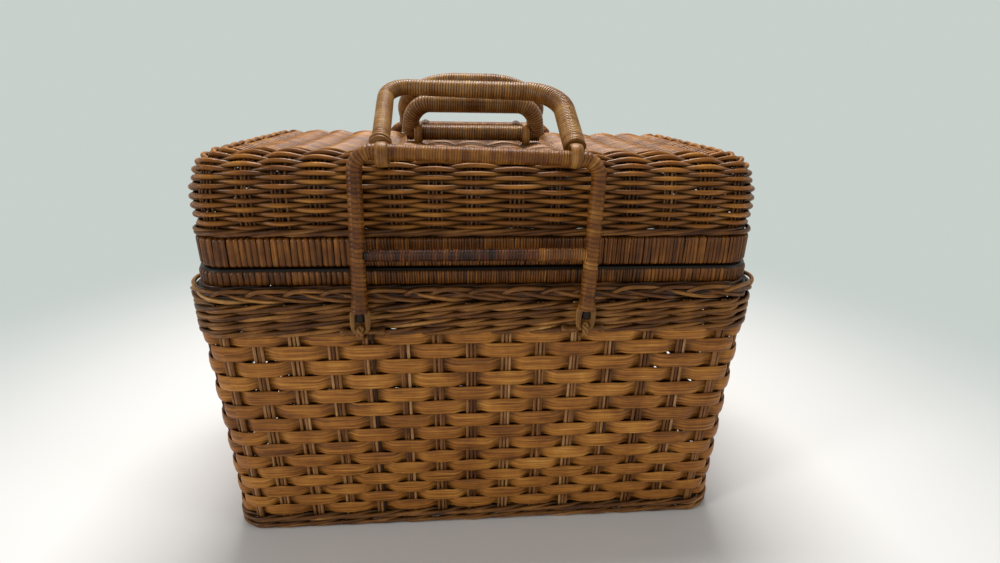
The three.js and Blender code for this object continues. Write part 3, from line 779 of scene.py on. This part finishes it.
class HAMPER_OT_dome(bpy.types.Operator):
    """Weave the lid's round reed over its groups of thin sticks"""

    bl_idname = "hamper.dome"
    bl_label = "Lid dome"

    def execute(self, context):
        groups = lid_groups()
        count = len(groups) - 1
        k, u = ring_places(groups)
        radius = sizes().lid_reed_radius
        reach = DOME_DEPTH - radius
        bend = np.linspace(FACE_HEIGHT + 1.8, FACE_HEIGHT + BEND_LENGTH - 1.0, 11)
        runs = [*np.arange(1.7, FACE_HEIGHT, 3.45), *bend]
        rings = []
        for number, run in enumerate(runs):
            wave = np.cos(math.pi * (k + number))
            inset, z, rise = dome_line(run + 0.22 * smooth_random(count, k))
            lift = reach * wave
            points, out = on_plan(u, inset - lift * np.cos(rise), LID_TURN, z + lift * np.sin(rise), rise)
            scale = squeezed(wave)
            scale[0] += 0.04 * smooth_random(count, k)
            tones = tones_along(0.5, 0.08, count, k) + rng.normal(0, 0.04)
            rings.append(strand(points, out, round_profile(radius), tones, wave, scale, closed=True))
        make_piece("lid_side_reed", "lid", "round_reed", rings, ["round_core_reed"], "lid_dome")
        self.top_panel(len(runs), radius, reach)
        self.sticks(groups)
        return {"FINISHED"}

    def top_panel(self, first, radius, reach):
        """The flat top: rows along the lid, over sticks that run on from the front to the back."""
        half = HALF_LENGTH - TOP_INSET - 2.0
        crossings = np.concatenate([[-half], np.array(LID_FRONT_GROUPS) * TOP_SHRINK, [half]])
        count = len(crossings) - 1
        k = np.arange(0, count * STEPS + 1) / STEPS
        x = between(crossings, k)
        drop = 2.5 * np.clip((np.abs(x) - half + 7) / 7, 0, 1)
        profile = round_profile(radius * 0.92)
        rows = []
        for number, y in enumerate(np.linspace(-79.0, 79.0, TOP_ROWS)):
            wave = np.cos(math.pi * (k - 1 + first + number))
            slip = 0.25 * smooth_random(count, k, False)
            points = stacked(x, y + slip, top_height(x, y) + reach * wave - drop)
            tones = tones_along(0.53, 0.09, count, k, False) + rng.normal(0, 0.06)
            rows.append(strand(points, UP, profile, tones, wave, squeezed(wave), taper=True))
        make_piece("lid_top_reed", "lid", "round_reed", rows, ["round_core_reed"])

    def sticks(self, groups):
        """Thin sticks: those of the front run over the top to the back, the others stop at its edge."""
        bend = np.linspace(FACE_HEIGHT, FACE_HEIGHT + BEND_LENGTH, 9)[1:]
        line = dome_line(np.concatenate([np.linspace(-3, FACE_HEIGHT, 8), bend]))
        # Painted shade: the lid's sticks get a dark tone and a low wave, for the shade in the weave's
        # windows.
        made = sticks(groups, LID_TURN, LID_STICKS, LID_STICK_RADIUS, line, 0.32, -0.1)
        profile = round_profile(LID_STICK_RADIUS, 6)
        y = np.linspace(-80, 80, 24)
        for column in LID_FRONT_GROUPS:
            for offset in LID_STICKS:
                x = column * TOP_SHRINK + offset + rng.normal(0, 0.2)
                points = stacked(x, y, top_height(x, y))
                made.append(strand(points, UP, profile, 0.5 + rng.normal(0, 0.12), 0.3, taper=True))
        make_piece("lid_sticks", "lid", "round_reed", made, ["upright_stick"])


def turned(points, angle, place=(0, 0, 0)):
    """Points turned about the X axis and moved, as a leaning handle stands."""
    y = points[..., 1] * math.cos(angle) - points[..., 2] * math.sin(angle)
    z = points[..., 1] * math.sin(angle) + points[..., 2] * math.cos(angle)
    return stacked(points[..., 0], y, z) + np.array(place)


def facing(angle):
    """The direction out of the plane of a handle that leans by an angle."""
    return turned(np.array([0.0, 1.0, 0.0]), angle)


def circle(middle, radius, axis):
    """Points round the X axis (0) or the Z axis (2), and their outward directions."""
    away = np.roll(stacked(np.cos(AROUND), np.sin(AROUND), 0.0), axis + 1, -1)
    return middle + radius * away, away


def hairpin(spacing, foot, bar, corners):
    """A line up a leg, round a corner, along a bar and back down, in the XZ plane, and its length."""
    length = 2 * (bar - foot) + spacing - sum(corners) * (2 - math.pi / 2)

    def line(s):
        halves = []
        for side, run, corner in ((-1, s, corners[0]), (1, length - s, corners[1])):
            leg = bar - corner - foot
            angle = np.clip((run - leg) / corner, 0, math.pi / 2)
            past = np.maximum(run - leg - corner * math.pi / 2, 0)
            x = side * (spacing / 2 - corner + corner * np.cos(angle) - past)
            halves.append(stacked(x, 0.0, foot + np.minimum(run, leg) + corner * np.sin(angle)))
        return np.where((s > length / 2)[..., None], halves[1], halves[0])

    return line, length


def even(amount):
    """A value that stays the same all along a pole."""
    return lambda s: np.full_like(np.asarray(s, float), amount)


# The rows of points across one turn of a winding: their places across it, their heights as shares of
# its crown, and their painted shade, darkest in the groove between turns. Then the size of one turn in
# the strand map, the radius that closes a tube's ends and the step that its direction is taken over, in
# millimetres.
TURN_SHARES = np.array([0.0, 0.14, 0.5, 0.86])
TURN_HEIGHTS = np.array([-1.2, 0.1, 1.0, 0.25])
TURN_SHADE = np.array([1.0, 0.35, 0.0, 0.3])
MAP_LENGTH = 40.0
MAP_WIDTH = 3.0
CLOSED = 0.01
SMALL_STEP = 0.05


def wound_tube(line, length, radius, pitch, out, tone=0.5, material=0, crown=0.26, jitter=0.06, sides=14):
    """A pole wound with cane: a helix of crowned strips with a groove between them.

    line, radius and pitch give the pole's middle, its radius and the width of a turn along it, and out
    is a direction across it. crown is how far a strip's middle stands out, and jitter is how much the
    tones of the turns differ.
    """
    edges = [0.0]
    while edges[-1] < length:
        edges.append(edges[-1] + float(pitch(edges[-1])))
    edges = np.array(edges) * length / edges[-1]
    last = edges[-1] - edges[-2]
    edges = np.concatenate([[-edges[1]], edges, [length + last, length + 2 * last]])
    wide = np.diff(edges)[:, None]
    begin = (edges[:-2, None] + TURN_SHARES * wide[:-1]).ravel()[:, None]
    finish_at = (edges[1:-1, None] + TURN_SHARES * wide[1:]).ravel()[:, None]
    around = np.arange(sides + 1) / sides
    s = np.clip(begin + (finish_at - begin) * around, 0, length)
    keep = (s.max(1) > 0) & (s.min(1) < length)
    s = np.concatenate([np.zeros((1, sides + 1)), s[keep], np.full((1, sides + 1), length)])
    rows = np.tile(np.stack([crown * TURN_HEIGHTS, TURN_SHADE, TURN_SHARES * MAP_WIDTH]), len(edges) - 2)
    rise, painted_shading, across = np.pad(rows[:, keep], ((0, 0), (1, 1)))[..., None]
    # Painted shade: the closed ends are fully darkened.
    painted_shading[[0, -1]] = 1.0
    ring = radius(s) + rise
    ring[[0, -1]] = CLOSED
    along = line(np.clip(s + SMALL_STEP, 0, length)) - line(np.clip(s - SMALL_STEP, 0, length))
    _, side, up = directions(along, out)
    angle = 2 * math.pi * around[:, None]
    points = line(s) + ring[..., None] * (side * np.cos(angle) + up * np.sin(angle))
    winding = np.interp(s, edges, np.arange(len(edges)))
    tones = tone + between(rng.normal(0, jitter, len(edges)), winding)
    # Painted shade in the grooves between the turns.
    painted_shade = np.repeat(0.9 * painted_shading, sides + 1, 1)
    uv = stacked(winding * MAP_LENGTH, across + MAP_LENGTH * np.floor(winding))
    return {"points": points, "uv": uv, "tone": tones, "painted_shade": painted_shade, "material": material}


def wound_bar(start, stop, height, placed, radius, pitch, out, **settings):
    """A straight pole wound with cane, between two places at one height in its handle's plane."""

    def line(s):
        return placed(stacked(start + s, 0.0, height))

    return wound_tube(line, stop - start, radius, even(pitch), out, **settings)


def swollen(s):
    """Radius of a lashing, which is thickest at its middle."""
    return 5.6 + 2.0 * np.sin(math.pi * s / LASHING_LENGTH)


def frame_pose(end):
    """Lean of a swing frame, the height of its bar along the lean, and the place of its pivots."""
    out, up = PIVOT_OUT - BAR_OUT, ENDS[end].bar_z - PIVOT_Z
    side = ENDS[end].side
    return side * math.atan2(out, up), math.hypot(out, up), (HANDLE_X, side * PIVOT_OUT, PIVOT_Z)


class HAMPER_OT_frames(bpy.types.Operator):
    """Wind the two swing frames and their cross bars"""

    bl_idname = "hamper.frames"
    bl_label = "Swing frames"

    def execute(self, context):
        for end in ENDS:
            self.frame(end)
            self.cross_bar(end)
        return {"FINISHED"}

    def frame(self, end):
        """A hairpin wound with cane: wide turns up the legs and fine turns along the bar, on two
        prongs of bent cane that go round the pivots."""
        shape = ENDS[end]
        angle, bar, place = frame_pose(end)
        out = facing(angle)
        half = LEG_SPACING / 2
        upright, length = hairpin(LEG_SPACING, FRAME_FOOT, bar, (FRAME_CORNER, FRAME_CORNER))
        leg = bar - FRAME_CORNER - FRAME_FOOT

        def placed(points):
            """The frame stands a little askew: it leans to the right and its legs spread."""
            lean = shape.leaning + shape.spread * points[..., 0] / half
            shift = lean * points[..., 2] / bar - shape.left
            return turned(points + shift[..., None] * (1, 0, 0), angle, place)

        def line(s):
            points = upright(s)
            points[..., 2] -= shape.fall * points[..., 0] / half * points[..., 2] / bar
            return placed(points)

        def radius(s):
            """The legs thicken to their feet, where the cane is tied off."""
            return FRAME_RADIUS * (1 + 0.22 * np.clip(1 - np.minimum(s, length - s) / 16, 0, 1) ** 1.5)

        def pitch(s):
            return np.interp(min(s, length - s), [leg, leg + 2 * FRAME_CORNER], [3.6, 1.9])

        parts = [wound_tube(line, length, radius, pitch, out, 0.54, crown=0.2, jitter=0.07)]
        for side in HANDS.values():
            # The eye goes round the pivot, and thickens upward into the leg over a core: a dark rod in full
            # painted shade that stands for the shadow inside the eye.
            outline = rounded_rectangle(*EYE_SIZE, 5)[0]
            eye = stacked(side * half + outline[:, 0], 0.0, outline[:, 1])
            thick = np.interp(eye[:, 2], [0, EYE_TOP], [0.9, 1.45])
            parts.append(strand(
                placed(eye), out, ellipse_profile(2.0, 2.5), 0.5, 0.8, thick, closed=True, material=1))
            core = np.linspace((side * half, 0, EYE_TOP / 2), (side * half, 0, EYE_TOP), 4)
            parts.append(strand(placed(core), out, round_profile(3.6), 0.0, -1.5, taper=True, material=2))
        for middle in LASHINGS if end == "rear" else ():
            start, stop = middle - LASHING_LENGTH / 2, middle + LASHING_LENGTH / 2
            parts.append(wound_bar(start, stop, bar, placed, swollen, 1.8, out, material=2))
        finishes = ["aged_chair_cane", "peeled_cane", "dark_twisted_rod"]
        body = f"{end}_frame"
        make_piece(f"{end}_frame_winding", body, "grip_wrap", parts, finishes, f"{end}_swing_frame")

    def cross_bar(self, end):
        """A thin bar between the legs: dark varnished cane, with paler cane at its right end."""
        angle, _, place = frame_pose(end)
        height = (CROSS_BAR_Z - PIVOT_Z) / math.cos(angle)
        half = LEG_SPACING / 2 - FRAME_RADIUS + 1.9
        split = 0.55 * half
        out = facing(angle)

        def placed(points):
            return turned(points, angle, place)

        parts = [
            wound_bar(-half, split, height, placed, even(4.5), 2.2, out, tone=0.42, crown=0.3, jitter=0.14),
            wound_bar(split, half, height, placed, even(4.7), 1.9, out, tone=0.62, jitter=0.1, material=1),
        ]
        finishes = ["varnished_chair_cane", "stained_chair_cane"]
        make_piece(f"{end}_bar_winding", f"{end}_frame", "dark_wrap", parts, finishes, f"{end}_cross_bar")


class HAMPER_OT_grips(bpy.types.Operator):
    """Wind the two carrying handles and the loops that hold them"""

    bl_idname = "hamper.grips"
    bl_label = "Carrying handles"

    def execute(self, context):
        for end in ENDS:
            self.grip(end)
        return {"FINISHED"}

    def grip(self, end):
        """A hairpin wound with fine cane, with two collars at each foot, and its two loops."""
        side, bar_z, degrees, corners, fall, aside = ENDS[end][:6]
        place = (HANDLE_X, side * BAR_OUT, bar_z)
        angle = side * math.radians(degrees)
        out = facing(angle)
        spacing = GRIP_SPACING + 2 * aside
        upright, length = hairpin(spacing, GRIP_FOOT, GRIP_HEIGHT, corners)
        leg = GRIP_HEIGHT - max(corners) - GRIP_FOOT

        def slanted(points):
            """The handle's slant: its feet lie to the right, and its bar falls to the right."""
            share = points[..., 2] / GRIP_HEIGHT
            x = points[..., 0] + aside * (1 - 1.4 * share)
            z = points[..., 2] - fall * points[..., 0] / GRIP_SPACING * 2 * share
            return turned(stacked(x, points[..., 1], z), angle, place)

        def radius(s):
            """The legs are wound thicker than the bar, and the bar thickens to the right."""
            along = np.interp(np.minimum(s, length - s), [leg, leg + 1.6 * max(corners)], GRIP_RADII)
            return along * (1 + 0.0007 * fall * upright(s)[..., 0])

        pitch = even(sizes().grip_wrap_pitch)
        parts = [wound_tube(lambda s: slanted(upright(s)), length, radius, pitch, out, 0.59, sides=16)]
        for x in (-spacing / 2, spacing / 2):
            for height, reach in ((11.2, 6.6), (14.1, 7.0)):
                collar, away = circle((x, 0, height), reach, 2)
                parts.append(strand(
                    slanted(collar), turned(away, angle), round_profile(1.5), 0.4, 0.7, closed=True,
                    material=1))
        finishes = ["pale_chair_cane", "peeled_cane"]
        body = f"{end}_handle"
        make_piece(f"{end}_handle_winding", body, "grip_wrap", parts, finishes, f"{end}_carry_handle")
        for label, hand in HANDS.items():
            ring, away = circle((hand * (spacing / 2 - 1.7) + 1.25 * aside, 0, 0), 7.5, 0)
            loop = strand(
                turned(ring, angle, place), turned(away, angle), ellipse_profile(4.7, 1.7, 12), 0.34, 0.8,
                closed=True)
            bind(f"{end}_{label}_loop_cane", body, [loop], f"{end}_{label}_handle_loop")


def bind(name, body, strands, node):
    """A piece of peeled cane that ties two others together."""
    make_piece(name, body, "binding_cane", strands, ["peeled_cane"], node)


class HAMPER_OT_ring(bpy.types.Operator):
    """Wind the lid's ring handle and bend its straps"""

    bl_idname = "hamper.ring"
    bl_label = "Ring handle"

    def execute(self, context):
        angle = math.radians(RING_LEAN)
        upright, length = hairpin(RING_SPACING, 0.0, RING_HEIGHT, RING_CORNERS)

        def placed(points):
            """The hoop is a little narrower at its top."""
            points[..., 0] *= 1 - 0.1 * points[..., 2] / RING_HEIGHT
            return turned(points, angle, RING_PLACE)

        def radius(s):
            return RING_RADIUS + 0.9 * np.clip(np.minimum(s, length - s) / 20, 0, 1)

        half = RING_SPACING / 2 + 2
        pitch = sizes().grip_wrap_pitch
        out = facing(angle)
        parts = [
            wound_tube(lambda s: placed(upright(s)), length, radius, even(pitch), out, 0.6),
            wound_bar(-half, half, 0.0, placed, even(RING_RADIUS), pitch, out, tone=0.52),
        ]
        finishes = ["pale_chair_cane"]
        make_piece("ring_handle_winding", "ring_handle", "grip_wrap", parts, finishes, "lid_ring_handle")
        bend = np.linspace(0, math.pi, 15)
        y = STRAP_REACH * np.concatenate([[1, 1], np.cos(bend), [-1, -1]])
        z = np.concatenate([[-8.5, -3.0], np.sin(bend) * STRAP_REACH, [-3.0, -8.5]])
        for label, x in STRAPS.items():
            points = stacked(x, y, z) + np.array(RING_PLACE)
            out = stacked(0.0, y, np.maximum(z, 0))
            strap = strand(points, out, flat_profile(7.0, 2.0), 0.5, 0.8, taper=True)
            bind(f"ring_strap_{label}_cane", "lid", [strap], f"ring_strap_{label}")
        return {"FINISHED"}


def belt(eye_radius, pin_radius, eye, pin, steps=12):
    """A closed line round two circles in the plane of outward distance and height."""
    eye, pin = np.array(eye, float), np.array(pin, float)
    base = math.atan2(*(eye - pin)[::-1])
    reach = math.acos((pin_radius - eye_radius) / np.linalg.norm(eye - pin))
    swing = 2 * np.arange(steps + 1) / steps - 1
    halves = []
    for middle, radius, angle in (
        (eye, eye_radius, base + swing * reach),
        (pin, pin_radius, base + math.pi + swing * (math.pi - reach)),
    ):
        halves.append(middle + radius * stacked(np.cos(angle), np.sin(angle)))
    return np.concatenate(halves)


class HAMPER_OT_fixings(bpy.types.Operator):
    """Make the anchor pins, their knots and the hinge loops"""

    bl_idname = "hamper.fixings"
    bl_label = "Pins, knots and hinges"

    def execute(self, context):
        for end, shape in ENDS.items():
            for label, hand in HANDS.items():
                x = HANDLE_X + hand * LEG_SPACING / 2 - shape.left
                pin, knot = self.pin(x, shape.side), self.knot(x, shape.side)
                bind(f"{end}_{label}_pin_cane", "body", [pin], f"{end}_{label}_anchor_pin")
                bind(f"{end}_{label}_knot_cane", "body", knot, f"{end}_{label}_knot")
        for label, hand in HANDS.items():
            parts = []
            for shift in (-2.4, 0, 2.4):
                ring, away = circle((hand * HINGE_X + shift, *HINGE_MIDDLE), 7.3, 0)
                tone = 0.5 + rng.normal(0, 0.1)
                parts.append(strand(ring, away, ellipse_profile(1.25, 1.1), tone, 0.7, closed=True))
            bind(f"hinge_{label}_cane", "body", parts, f"hinge_loop_{label}")
        return {"FINISHED"}

    def pin(self, x, side):
        """A stub of cane through the top wale."""
        run = np.linspace(-17, 17, 12)
        points = stacked(x + run, side * PIN_OUT, PIN_Z)
        thick = np.where(np.abs(run) > 11, 1.25, 0.8)
        return strand(points, (0, side, 0), round_profile(2.6), 0.3, 0.3, thick, taper=True)

    def knot(self, x, side):
        """Two strands of cane, twisted round each other, that tie a leg's eye to its pin."""
        loop = belt(4.15, 4.75, (PIVOT_OUT, PIVOT_Z), (PIN_OUT, PIN_Z))
        away = loop - loop.mean(0)
        away /= np.linalg.norm(away, axis=1, keepdims=True)
        out = stacked(0.0, side * away[:, 0], away[:, 1])
        twist = np.linspace(0, 6 * math.pi, len(loop), endpoint=False)
        made = []
        for start in (0, math.pi):
            middle = loop + away * 0.8 * np.sin(twist + start)[:, None]
            points = stacked(x + 1.5 * np.cos(twist + start), side * middle[:, 0], middle[:, 1])
            made.append(strand(points, out, round_profile(1.5), 0.38, 0.5, closed=True))
        return made


# The base panel: its half length and half depth, its corner radius, the height of its middle, the
# reach and the spacing of its rows, its groups of sticks and the sticks in a group, in millimetres.
BASE_HALF = (219.0, 104.0)
BASE_CORNER = 19.9
BASE_Z = 5.0
BASE_REACH = 1.6
BASE_PITCH = 4.1
BASE_COLUMNS = np.arange(-203.0, 204.0, 29.0)
BASE_STICKS = np.array([-4.2, -1.4, 1.4, 4.2])
BASE_STEPS = 8


def base_half(off, across, along):
    """Half the length of a strand of the base that lies off its middle line."""
    over = max(abs(off) - (across - BASE_CORNER), 0)
    return along - BASE_CORNER + math.sqrt(max(BASE_CORNER ** 2 - over ** 2, 0)) - 1


class HAMPER_OT_base(bpy.types.Operator):
    """Weave the base panel inside the foot wale"""

    bl_idname = "hamper.base"
    bl_label = "Base panel"

    def execute(self, context):
        half_x, half_y = BASE_HALF
        count = len(BASE_COLUMNS)
        made = []
        for number, y in enumerate(np.arange(-half_y + 2.2, half_y - 2.0, BASE_PITCH)):
            half = base_half(y, half_y, half_x)
            crossings = np.concatenate([[-half], BASE_COLUMNS[np.abs(BASE_COLUMNS) < half - 6], [half]])
            k = np.arange(0, (len(crossings) - 1) * BASE_STEPS + 1) / BASE_STEPS
            x = between(crossings, k)
            order = np.interp(x, BASE_COLUMNS, np.arange(count), left=-1, right=count)
            wave = np.cos(math.pi * (order + number))
            points = stacked(x, y, BASE_Z + BASE_REACH * wave)
            tones = tones_along(0.45, 0.14, len(crossings) - 1, k, False)
            made.append(strand(points, UP, round_profile(1.8, 6), tones, wave, taper=True))
        for column in BASE_COLUMNS:
            for x in column + BASE_STICKS:
                half = base_half(x, half_x, half_y)
                points = np.linspace((x, -half, BASE_Z), (x, half, BASE_Z), 6)
                made.append(strand(points, UP, round_profile(1.1, 6), 0.45, 0.2, taper=True, material=1))
        finishes = ["twisted_rod", "upright_stick"]
        make_piece("base_weave_reed", "body", "base_weave", made, finishes, "base_panel")
        return {"FINISHED"}


# Camera fitted to the photograph: place in millimetres, yaw, pitch and roll in degrees, and lens in
# pixels of a frame 1000 wide and 563 high.
CAMERA_PLACE = (-17.4, -492.95, 387.2)
CAMERA_ANGLES = (4.57, 20.65, 1.01)
CAMERA_FOCAL = 512.9
FRAME_WIDTH = 1000.0
SENSOR_WIDTH = 36.0
BACKDROP = "#C8D0CC"

# Place, width and height of each lamp in metres, and its power in watts.
LAMPS = {
    "top_lamp": ((0.0, 0.35, 1.5), 0.8, 0.5, 27.0),
    "left_lamp": ((-1.8, -0.9, 1.0), 0.35, 0.35, 13.0),
    "right_lamp": ((1.8, -0.8, 1.0), 0.5, 0.5, 6.5),
    "front_lamp": ((-0.2, -1.8, 0.4), 1.4, 0.5, 4.0),
}
LAMP_TARGET = Vector((0, 0, 0.2))


def seen(tree):
    """1 for a ray from the camera or from a glossy face, and 0 for a ray that only carries light."""
    rays = add_node(tree, "LightPath")
    return add_node(
        tree, "Math", links={0: (rays, "Is Camera Ray"), 1: (rays, "Is Glossy Ray")}, operation="MAXIMUM")


class HAMPER_OT_stage(bpy.types.Operator):
    """Lay the pale floor and set the camera and the lamps"""

    bl_idname = "hamper.stage"
    bl_label = "Stage"

    def execute(self, context):
        self.floor()
        self.camera()
        self.lamps()
        self.room()
        context.scene.view_settings.view_transform = "Standard"
        return {"FINISHED"}

    def floor(self):
        bm = bmesh.new()
        bmesh.ops.create_grid(bm, x_segments=1, y_segments=1, size=6.0)
        mesh = bpy.data.meshes.new("pale_floor")
        bm.to_mesh(mesh)
        bm.free()
        mesh.materials.append(self.painted_board())
        new_object("pale_floor", mesh)

    def painted_board(self):
        """Matt white paint on board. Where the camera sees it far off, it fades to the backdrop's tone."""
        material = bpy.data.materials.new("painted_board")
        tree = empty_tree(material)
        place = add_node(tree, "TexCoord")
        distance = add_node(tree, "VectorMath", links={0: (place, "Object")}, operation="LENGTH")
        far = add_node(
            tree, "MapRange", {"From Min": 0.35, "From Max": 1.0}, {"Value": (distance, "Value")},
            interpolation_type="SMOOTHSTEP")
        fade = add_node(tree, "Math", links={0: (far, 0), 1: (seen(tree), 0)}, operation="MULTIPLY")
        speckle = add_node(
            tree, "TexNoise", {"Scale": 1000 / 3.0, "Detail": 2.0}, {"Vector": (place, "Object")})
        rough = add_node(tree, "MapRange", {"To Min": 0.45, "To Max": 0.65}, {"Value": (speckle, "Fac")})
        paint = add_node(
            tree, "BsdfPrincipled", {"Base Color": (*sizes().floor_colour, 1), "Specular IOR Level": 0.3},
            {"Roughness": (rough, 0)})
        backdrop = add_node(tree, "Emission", {"Color": linear(BACKDROP), "Strength": 1.0})
        both = add_node(tree, "MixShader", links={0: (fade, 0), 1: (paint, 0), 2: (backdrop, 0)})
        add_node(tree, "OutputMaterial", links={"Surface": (both, 0)})
        return material

    def camera(self):
        yaw, pitch, roll = (math.radians(angle) for angle in CAMERA_ANGLES)
        data = bpy.data.cameras.new("camera")
        data.sensor_width = SENSOR_WIDTH
        data.lens = CAMERA_FOCAL / FRAME_WIDTH * SENSOR_WIDTH
        data.clip_start = 0.01
        camera = new_object("camera", data)
        camera.matrix_world = Matrix.Translation(Vector(CAMERA_PLACE) * 0.001)
        for angle, axis in ((-yaw, "Z"), (math.pi / 2 - pitch, "X"), (roll, "Z")):
            camera.matrix_world @= Matrix.Rotation(angle, 4, axis)
        bpy.context.scene.camera = camera

    def lamps(self):
        for name, (place, width, height, power) in LAMPS.items():
            data = bpy.data.lights.new(name, "AREA")
            data.shape = "RECTANGLE"
            data.size, data.size_y = width, height
            data.energy = power
            lamp = new_object(name, data)
            lamp.location = place
            lamp.rotation_euler = (LAMP_TARGET - Vector(place)).to_track_quat("-Z", "Y").to_euler()

    def room(self):
        """A dim room that looks pale to the camera and in reflections."""
        world = bpy.data.worlds.new("pale_room")
        bpy.context.scene.world = world
        tree = empty_tree(world)
        dim = add_node(tree, "Background", {"Color": linear("#E9EDF0"), "Strength": 0.2})
        shown = add_node(tree, "Background", {"Color": linear(BACKDROP), "Strength": 1.0})
        both = add_node(tree, "MixShader", links={0: (seen(tree), 0), 1: (dim, 0), 2: (shown, 0)})
        add_node(tree, "OutputWorld", links={"Surface": (both, 0)})


OPERATORS = (
    HAMPER_OT_base,
    HAMPER_OT_body,
    HAMPER_OT_wales,
    HAMPER_OT_border,
    HAMPER_OT_rims,
    HAMPER_OT_dome,
    HAMPER_OT_frames,
    HAMPER_OT_grips,
    HAMPER_OT_ring,
    HAMPER_OT_fixings,
    HAMPER_OT_stage,
)


class HAMPER_PT_pieces(bpy.types.Panel):
    """Lists the hamper's sizes and its pieces"""

    bl_label = "Hamper"
    bl_idname = "HAMPER_PT_pieces"
    bl_space_type = "VIEW_3D"
    bl_region_type = "UI"
    bl_category = "Hamper"

    def draw(self, context):
        for name in HamperSizes.__annotations__:
            self.layout.prop(context.scene.hamper_sizes, name)
        for operator in OPERATORS:
            self.layout.operator(operator.bl_idname)


def register():
    bpy.utils.register_class(HamperSizes)
    bpy.types.Scene.hamper_sizes = PointerProperty(type=HamperSizes)
    for operator in OPERATORS:
        bpy.utils.register_class(operator)
    bpy.utils.register_class(HAMPER_PT_pieces)


def unregister():
    bpy.utils.unregister_class(HAMPER_PT_pieces)
    for operator in reversed(OPERATORS):
        bpy.utils.unregister_class(operator)
    del bpy.types.Scene.hamper_sizes
    bpy.utils.unregister_class(HamperSizes)


def main():
    register()
    for operator in OPERATORS:
        name = operator.bl_idname.split(".")[1]
        getattr(bpy.ops.hamper, name)()


if __name__ == "__main__":
    main()
